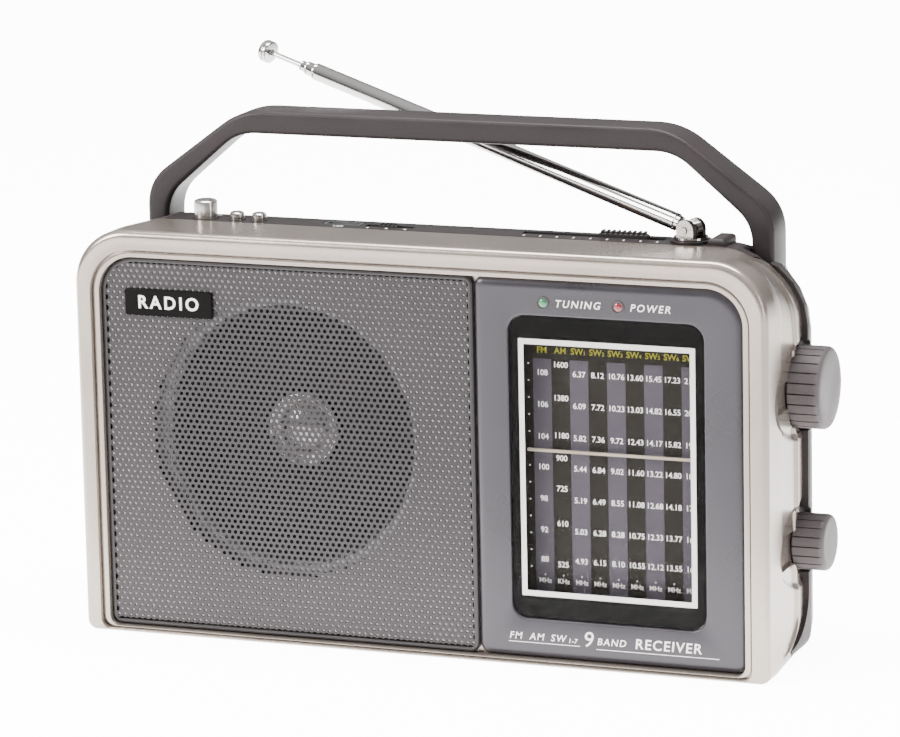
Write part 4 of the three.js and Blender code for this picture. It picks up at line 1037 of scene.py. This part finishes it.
def handle(plastic):
    """The bow: a rounded section carried between an inner and an outer line, with round feet on the
    pins."""
    low, high = box_mm("handle")
    pivot = middle_of("handle_pin_left")
    leg_out, top = high[0], high[2]
    foot = pivot[2] + 10
    outer = [(leg_out, foot), (leg_out, SHOULDER_OUT), (GRIP_HALF_OUT, top)]
    inner = [(LEG_IN, foot), (LEG_IN, SHOULDER_IN), (GRIP_HALF_IN, GRIP_UNDERSIDE)]
    outer, inner = ([(-x, z) for x, z in half] + half[::-1] for half in (outer, inner))
    out_line, in_line = eased_line(outer, 9, 9), eased_line(inner, 7, 9)
    feet = np.radians(np.array([88, 70, 50, 30, 10, 0]))
    half_depth = (high[1] - low[1]) / 2
    foot_z = pivot[2] - half_depth * np.sin(feet)
    foot_half = half_depth * np.cos(feet)
    left_out = np.column_stack([np.full(6, -leg_out), foot_z])
    left_in = np.column_stack([np.full(6, -LEG_IN), foot_z])
    out_line = np.concatenate([left_out, out_line, left_out[::-1] * [-1, 1]])
    in_line = np.concatenate([left_in, in_line, left_in[::-1] * [-1, 1]])
    half = np.concatenate([foot_half, np.full(len(out_line) - 12, half_depth), foot_half[::-1]])
    corner = settings().handle_round / MM
    rings = []
    for a, b, depth in zip(out_line, in_line, half):
        width = np.linalg.norm(a - b) / 2
        radius = min(corner, depth * 0.9, width * 0.9)
        shape = rounded(-width, width, -depth, depth, radius, 6)
        middle, across = (a + b) / 2, (a - b) / np.linalg.norm(a - b)
        flat = middle + shape[:, :1] * across
        rings.append(np.column_stack([flat[:, 0], pivot[1] + shape[:, 1], flat[:, 1]]))
    points, faces = loft(rings)
    piece("carrying_bow", points, faces, "handle", "dark_moulding", plastic, ["handle"], crease=35)


# ---- Antenna ---------------------------------------------------------------------------------------------

# The mast's direction, and each tube: its node, body, radius, start, end and bore.
MAST_AZIMUTH, MAST_ELEVATION = math.radians(162), math.radians(13.5)
TUBES = [
    ("antenna_section_1", "antenna_mast", 3.1, 5.2, 174.0, 2.75),
    ("antenna_section_2", "antenna_second", 2.5, 14.0, 178.0, 2.15),
    ("antenna_section_3", "antenna_third", 1.9, 17.0, 181.0, 1.55),
]
ROD_END = 195.5


def antenna(chrome):
    """The telescopic mast: each tube is turned about one axis, and its end is rolled in over the next
    tube."""
    pin = middle_of("antenna_hinge_pin")
    level = math.cos(MAST_ELEVATION)
    along = np.array([math.cos(MAST_AZIMUTH) * level, math.sin(MAST_AZIMUTH) * level,
                      math.sin(MAST_ELEVATION)])
    for node, body, radius, start, end, bore in TUBES:
        profile = [(start, bore), (start, radius - 0.3), (start + 0.3, radius), (end - 1.6, radius),
                   (end - 1.3, radius - 0.14),
                   (end - 1.0, radius), (end - 0.4, radius), (end - 0.1, radius - 0.25), (end, bore + 0.05),
                   (end - 0.3, bore)]
        if node == "antenna_section_1":
            profile = [(start, 0.5), (start, 1.9), (start + 0.2, 2.6), (start + 1.6, 2.7),
                       (start + 1.9, radius)] + profile[3:]
        points, faces = turned(profile, pin, along, 40)
        parts = [(points, faces)]
        if node == "antenna_section_1":
            side = np.array([-math.sin(MAST_AZIMUTH), math.cos(MAST_AZIMUTH), 0.0])
            eye = [(-1.6, 0.4), (-1.6, 2.0), (-1.4, 2.2), (1.4, 2.2), (1.6, 2.0), (1.6, 0.4)]
            parts.append(turned(eye, pin, side, 32))
            parts.append(turned([(0.5, 1.5), (start + 0.5, 1.6)], pin, along, 24))
        piece(node + "_tube", *join_parts(parts), body, "antenna_chrome", chrome, [node])
    end = ROD_END
    profile = [(18.0, 0.4), (18.2, 1.0), (end - 0.4, 1.0), (end, 1.4), (end, 3.5), (end + 0.25, 3.95),
               (end + 0.7, 4.1), (end + 1.2, 4.1),
               (end + 1.4, 3.9), (end + 1.6, 4.1), (end + 2.8, 4.1), (end + 3.25, 3.9), (end + 3.5, 3.4),
               (end + 3.5, 1.6), (end + 3.1, 1.2)]
    piece("antenna_rod_tip", *turned(profile, pin, along, 40), "antenna_rod", "antenna_chrome", chrome,
          ["antenna_section_4"])


# ---- Back and small parts --------------------------------------------------------------------------------

def battery_door(plastic):
    """The battery door: a plate with rounded edges, a row of short grip ribs and four long ribs."""
    low, high = box_mm("battery_door")
    outline = rounded(low[0], high[0], low[2], high[2], 2.0, 6)
    parts = [plate([outline], low[1], high[1] - 0.5, 0.3)]
    for i in range(7):
        z = high[2] - 7.5 + i * 0.95
        parts.append(plate([rounded(-8, 8, z, z + 0.45, 0.2, 3)], high[1] - 0.6, high[1], 0.1))
    for x in (-70, -35, 35, 70):
        rib = rounded(x - 0.6, x + 0.6, low[2] + 3, high[2] - 3, 0.5, 4)
        parts.append(plate([rib], high[1] - 0.6, high[1] - 0.1, 0.1))
    piece("battery_cover_panel", *join_parts(parts), "battery_cover", "dark_moulding", plastic,
          ["battery_door"])


CARRIED = {
    "grained_dark_abs": ["rear_cabinet"],
    "dark_dial_card": ["dial_scale"],
    "pointer_paint": ["dial_pointer"],
    "switch_abs": ["top_panel", "antenna_seat"],
    "drawn_chrome": ["antenna_knuckle", "antenna_hinge_pin"],
    "zinc_plated_steel": ["speaker_basket", "speaker_screw_1", "speaker_screw_2", "case_screw_1",
                          "case_screw_2", "case_screw_3",
                          "case_screw_4", "tuning_shaft", "volume_shaft", "volume_control", "usb_socket",
                          "battery_contact",
                          "handle_pin_left", "handle_pin_right"],
    "spring_steel": ["pointer_rail", "battery_spring"],
    "turned_brass": ["tuning_bushing"],
    "sintered_ferrite": ["speaker_magnet", "ferrite_rod"],
    "enamelled_copper": ["ferrite_coil"],
    "phenolic_board": ["circuit_board", "control_board"],
    "cream_moulding": ["tuning_capacitor", "drive_drum"],
    "cell_wrap": ["battery_cell_1", "battery_cell_2", "battery_cell_3", "battery_cell_4"],
    "black_nylon": ["mains_inlet", "earphone_jack"],
    "laminated_core": ["power_transformer"],
}


def dress(node, material):
    """Gives a CAD node that stays its finish."""
    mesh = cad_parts[node].data
    mesh.materials.clear()
    mesh.materials.append(material)


# ---- Stage -----------------------------------------------------------------------------------------------

CAMERA_PLACE = (0.62934, -1.59749, 0.46624)
CAMERA_YAW, CAMERA_PITCH, CAMERA_ROLL = 0.3753, 0.2126, -0.0208
CAMERA_LENS = 200.0


def set_camera():
    """The camera looks along -back: back from yaw and pitch, right and up turned about it by the roll."""
    back = Vector((math.sin(CAMERA_YAW) * math.cos(CAMERA_PITCH),
                   -math.cos(CAMERA_YAW) * math.cos(CAMERA_PITCH),
                   math.sin(CAMERA_PITCH)))
    right0 = Vector((math.cos(CAMERA_YAW), math.sin(CAMERA_YAW), 0))
    up0 = back.cross(right0)
    right = math.cos(CAMERA_ROLL) * right0 + math.sin(CAMERA_ROLL) * up0
    up = -math.sin(CAMERA_ROLL) * right0 + math.cos(CAMERA_ROLL) * up0
    data = bpy.data.cameras.new("view")
    data.lens = CAMERA_LENS
    data.sensor_width = 36.0
    data.clip_end = 20
    camera = bpy.data.objects.new("view", data)
    bpy.context.scene.collection.objects.link(camera)
    place = Matrix((right, up, back)).transposed().to_4x4()
    place.translation = Vector(CAMERA_PLACE)
    camera.matrix_world = place
    bpy.context.scene.camera = camera


def area_light(name, place, target, size, power):
    """A square soft light that faces a point."""
    data = bpy.data.lights.new(name, "AREA")
    data.shape = "RECTANGLE"
    data.size, data.size_y = size
    data.energy = power
    light = bpy.data.objects.new(name, data)
    bpy.context.scene.collection.objects.link(light)
    light.location = place
    light.rotation_euler = (Vector(target) - Vector(place)).to_track_quat("-Z", "Y").to_euler()


def set_stage():
    """A floor, a pale world and soft lights from the left, the right and above.

    The floor isn't plain. The camera sees an even pale glow. Every other ray, and so the light on the pieces
    and their reflections, gets bright and dim bands along Y that fade to the right. The bands are placed for
    the main view alone, and the even glow hides the contact shadow."""
    half = 6.0
    mesh = bpy.data.meshes.new("floor")
    floor_z = CAD_BOX[0][2]
    mesh.from_pydata([(-half, -half, floor_z), (half, -half, floor_z), (half, half, floor_z),
                      (-half, half, floor_z)],
                     [], [(0, 1, 2, 3)])
    material = bpy.data.materials.new("paper_backdrop")
    material.use_nodes = True
    tree = material.node_tree
    shader = tree.nodes["Principled BSDF"]
    shader.inputs["Roughness"].default_value = 0.9
    place = add(tree, "ShaderNodeTexCoord").outputs["Object"]
    fibre = add(tree, "ShaderNodeTexNoise", {"Vector": place, "Scale": 900.0, "Detail": 2.0})
    ramp = add(tree, "ShaderNodeValToRGB", {"Fac": fibre.outputs["Fac"]})
    ramp.color_ramp.elements[0].color = linear("#F4F3F1")
    ramp.color_ramp.elements[1].color = linear("#FFFFFE")
    tree.links.new(ramp.outputs["Color"], shader.inputs["Base Color"])
    shader.inputs["Emission Color"].default_value = (1.0, 1.0, 1.0, 1.0)
    place = add(tree, "ShaderNodeSeparateXYZ", {"Vector": place})
    share = add(tree, "ShaderNodeMapRange",
                {"Value": place.outputs["Y"], "From Min": -1.0, "From Max": 0.0})
    sheet = add(tree, "ShaderNodeValToRGB", {"Fac": share.outputs["Result"]})
    sheet.color_ramp.elements[0].position = 0.3
    sheet.color_ramp.elements[1].position = 0.87
    for position, level in ((0.42, 0.08), (0.74, 0.08)):
        sheet.color_ramp.elements.new(position).color = (level, level, level, 1.0)
    sheet.color_ramp.elements[0].color = (0.9, 0.9, 0.9, 1.0)
    aside = add(tree, "ShaderNodeMapRange",
                {"Value": place.outputs["X"], "From Min": 0.16, "From Max": 0.34,
                 "To Min": settings().floor_glow,
                 "To Max": 0.06 * settings().floor_glow})
    glow = add(tree, "ShaderNodeMath", {0: sheet.outputs["Color"], 1: aside.outputs["Result"]},
               operation="MULTIPLY")
    seen = add(tree, "ShaderNodeLightPath").outputs["Is Camera Ray"]
    level = add(tree, "ShaderNodeMix",
                {"Factor": seen, "A": glow.outputs["Value"], "B": settings().backdrop_glow})
    tree.links.new(level.outputs["Result"], shader.inputs["Emission Strength"])
    mesh.materials.append(material)
    floor = bpy.data.objects.new("floor", mesh)
    bpy.context.scene.collection.objects.link(floor)
    world = bpy.data.worlds.new("studio")
    world.use_nodes = True
    sky = world.node_tree
    place = add(sky, "ShaderNodeTexCoord").outputs["Generated"]
    height = add(sky, "ShaderNodeSeparateXYZ", {"Vector": place}).outputs["Z"]
    ramp = add(sky, "ShaderNodeValToRGB", {"Fac": height})
    ramp.color_ramp.elements[0].position = 0.05
    ramp.color_ramp.elements[0].color = (0.10, 0.10, 0.10, 1.0)
    ramp.color_ramp.elements[1].position = 0.75
    ramp.color_ramp.elements[1].color = (1.0, 1.0, 1.0, 1.0)
    sky.links.new(ramp.outputs["Color"], sky.nodes["Background"].inputs["Color"])
    world.node_tree.nodes["Background"].inputs["Strength"].default_value = settings().world_light
    bpy.context.scene.world = world
    middle = (0.0, 0.0, 0.08)
    strength = settings().key_light
    area_light("key", (-1.3, -1.2, 1.1), middle, (0.8, 1.0), strength)
    area_light("edge", (1.4, -0.55, 0.35), middle, (0.1, 0.8), strength * 0.08)
    area_light("top", (0.0, 0.0, 1.8), middle, (1.4, 0.7), strength * 1.25)


# ---- Add-on ----------------------------------------------------------------------------------------------

class ReceiverSettings(bpy.types.PropertyGroup):
    case_colour: bpy.props.FloatVectorProperty(
        name="Front moulding", description="Lighter shade of the silver front moulding", subtype="COLOR",
        min=0.0, max=1.0, default=linear(FINISHES["silver_lacquer"]["high"])[:3])
    rear_colour: bpy.props.FloatVectorProperty(
        name="Rear moulding", description="Lighter shade of the rear moulding and battery door",
        subtype="COLOR",
        min=0.0, max=1.0, default=linear(FINISHES["grained_dark_abs"]["high"])[:3])
    handle_colour: bpy.props.FloatVectorProperty(
        name="Handle", description="Lighter shade of the carrying handle", subtype="COLOR",
        min=0.0, max=1.0, default=linear(FINISHES["satin_dark_abs"]["high"])[:3])
    knob_colour: bpy.props.FloatVectorProperty(
        name="Knobs", description="Lighter shade of the two side knobs", subtype="COLOR",
        min=0.0, max=1.0, default=linear(FINISHES["satin_knob_abs"]["high"])[:3])
    panel_colour: bpy.props.FloatVectorProperty(
        name="Dial panel", description="Lighter shade of the panel round the dial", subtype="COLOR",
        min=0.0, max=1.0, default=linear(FINISHES["satin_grey_lacquer"]["high"])[:3])
    grille_colour: bpy.props.FloatVectorProperty(
        name="Grille", description="Lighter shade of the painted speaker grille", subtype="COLOR",
        min=0.0, max=1.0, default=linear(FINISHES["painted_steel_mesh"]["high"])[:3])
    number_height: bpy.props.FloatProperty(
        name="Number height", description="Height of the dial's numbers", default=2.05 * MM, unit="LENGTH")
    frame_line: bpy.props.FloatProperty(
        name="Frame line", description="Width of the white line round the dial", default=1.9 * MM,
        unit="LENGTH")
    handle_round: bpy.props.FloatProperty(
        name="Handle rounding", description="Radius of the handle's long edges", default=1.7 * MM,
        unit="LENGTH")
    grille_pitch: bpy.props.FloatProperty(
        name="Grille pitch", description="Distance between the middles of two holes", default=2.26 * MM,
        unit="LENGTH")
    hole_width: bpy.props.FloatProperty(
        name="Hole width", description="Width of a hole in the grille", default=1.36 * MM, unit="LENGTH")
    key_light: bpy.props.FloatProperty(name="Key light", description="Power of the main light in watts",
                                       default=66.0)
    backdrop_glow: bpy.props.FloatProperty(
        name="Backdrop glow", description="How bright the floor looks to the camera alone", default=11.0)
    world_light: bpy.props.FloatProperty(name="World light", description="Strength of the pale surround",
                                         default=1.2)
    floor_glow: bpy.props.FloatProperty(
        name="Floor glow", description="Brightest light that the floor's bands throw on the pieces",
        default=4.2)


class RECEIVER_OT_stage(bpy.types.Operator):
    """Sets the floor, the lights and the camera"""
    bl_idname = "receiver.stage"
    bl_label = "Stage"
    bl_options = {"REGISTER", "UNDO"}

    def execute(self, context):
        set_camera()
        set_stage()
        return {"FINISHED"}


class RECEIVER_OT_case(bpy.types.Operator):
    """Makes the silver front moulding and its baffle"""
    bl_idname = "receiver.case"
    bl_label = "Front moulding"
    bl_options = {"REGISTER", "UNDO"}

    def execute(self, context):
        front_case(shell_finish("silver_lacquer"))
        return {"FINISHED"}


class RECEIVER_OT_grille(bpy.types.Operator):
    """Makes the perforated grille and the badge"""
    bl_idname = "receiver.grille"
    bl_label = "Grille and badge"
    bl_options = {"REGISTER", "UNDO"}

    def execute(self, context):
        grille(shell_finish("painted_steel_mesh"), shell_finish("bright_steel_mesh"))
        badge(shell_finish("black_back_print"), shell_finish("white_ink"))
        return {"FINISHED"}


class RECEIVER_OT_speaker(bpy.types.Operator):
    """Makes the loudspeaker's cone and dust cap"""
    bl_idname = "receiver.speaker"
    bl_label = "Loudspeaker"
    bl_options = {"REGISTER", "UNDO"}

    def execute(self, context):
        speaker(shell_finish("paper_cone"), shell_finish("aluminised_cap"))
        return {"FINISHED"}


class RECEIVER_OT_dial(bpy.types.Operator):
    """Makes the dial's surround, window, scale and lamps"""
    bl_idname = "receiver.dial"
    bl_label = "Dial"
    bl_options = {"REGISTER", "UNDO"}

    def execute(self, context):
        ink = shell_finish("white_ink")
        dial_panel(shell_finish("satin_grey_lacquer"), ink)
        dial_window(clear_acrylic(), shell_finish("black_back_print"), ink)
        dial_scale(shell_finish("grey_dial_card"), ink, shell_finish("olive_ink"))
        bezel = shell_finish("black_nylon")
        lamp("tuning_lamp", lamp_resin("green_lamp_resin", "#2F7A4E"), bezel, "green_lamp")
        lamp("power_lamp", lamp_resin("red_lamp_resin", "#8E2530"), bezel, "red_lamp")
        return {"FINISHED"}


class RECEIVER_OT_knobs(bpy.types.Operator):
    """Makes the tuning and volume knobs"""
    bl_idname = "receiver.knobs"
    bl_label = "Knobs"
    bl_options = {"REGISTER", "UNDO"}

    def execute(self, context):
        plastic = shell_finish("satin_knob_abs")
        knob("tuning_knob", "tuning", 24, plastic)
        knob("volume_knob", "volume", 18, plastic)
        return {"FINISHED"}


class RECEIVER_OT_controls(bpy.types.Operator):
    """Makes the buttons, switches and marks on the top"""
    bl_idname = "receiver.controls"
    bl_label = "Top controls"
    bl_options = {"REGISTER", "UNDO"}

    def execute(self, context):
        plating = shell_finish("plated_button")
        push_button("power_button", "power_key", plating)
        push_button("small_button_1", "small_key_1", plating)
        push_button("small_button_2", "small_key_2", plating)
        top_controls(shell_finish("switch_abs"), shell_finish("white_ink"))
        return {"FINISHED"}


class RECEIVER_OT_handle(bpy.types.Operator):
    """Makes the carrying handle"""
    bl_idname = "receiver.handle"
    bl_label = "Handle"
    bl_options = {"REGISTER", "UNDO"}

    def execute(self, context):
        handle(shell_finish("satin_dark_abs"))
        return {"FINISHED"}


class RECEIVER_OT_antenna(bpy.types.Operator):
    """Makes the telescopic mast"""
    bl_idname = "receiver.antenna"
    bl_label = "Antenna"
    bl_options = {"REGISTER", "UNDO"}

    def execute(self, context):
        antenna(shell_finish("drawn_chrome"))
        return {"FINISHED"}


class RECEIVER_OT_back(bpy.types.Operator):
    """Makes the battery door"""
    bl_idname = "receiver.back"
    bl_label = "Back"
    bl_options = {"REGISTER", "UNDO"}

    def execute(self, context):
        battery_door(shell_finish("grained_dark_abs"))
        return {"FINISHED"}


class RECEIVER_OT_dressing(bpy.types.Operator):
    """Gives the CAD parts that stay their finishes"""
    bl_idname = "receiver.dressing"
    bl_label = "Finishes"
    bl_options = {"REGISTER", "UNDO"}

    def execute(self, context):
        for name, nodes in CARRIED.items():
            for node in nodes:
                dress(node, shell_finish(name))
        return {"FINISHED"}


OPERATORS = [
    RECEIVER_OT_stage, RECEIVER_OT_case, RECEIVER_OT_grille, RECEIVER_OT_speaker, RECEIVER_OT_dial,
    RECEIVER_OT_knobs, RECEIVER_OT_controls, RECEIVER_OT_handle, RECEIVER_OT_antenna, RECEIVER_OT_back,
    RECEIVER_OT_dressing,
]


class RECEIVER_PT_panel(bpy.types.Panel):
    bl_idname = "RECEIVER_PT_panel"
    bl_label = "Shortwave receiver"
    bl_space_type = "VIEW_3D"
    bl_region_type = "UI"
    bl_category = "Receiver"

    def draw(self, context):
        for name in ReceiverSettings.__annotations__:
            self.layout.prop(context.scene.receiver, name)
        for operator in OPERATORS:
            self.layout.operator(operator.bl_idname)


def register():
    for cls in [ReceiverSettings, *OPERATORS, RECEIVER_PT_panel]:
        bpy.utils.register_class(cls)
    bpy.types.Scene.receiver = bpy.props.PointerProperty(type=ReceiverSettings)


def unregister():
    del bpy.types.Scene.receiver
    for cls in reversed([ReceiverSettings, *OPERATORS, RECEIVER_PT_panel]):
        bpy.utils.unregister_class(cls)


def main():
    """Registers the add-on and runs its steps in order."""
    register()
    for operator in OPERATORS:
        group, name = operator.bl_idname.split(".")
        getattr(getattr(bpy.ops, group), name)()


if __name__ == "__main__":
    main()
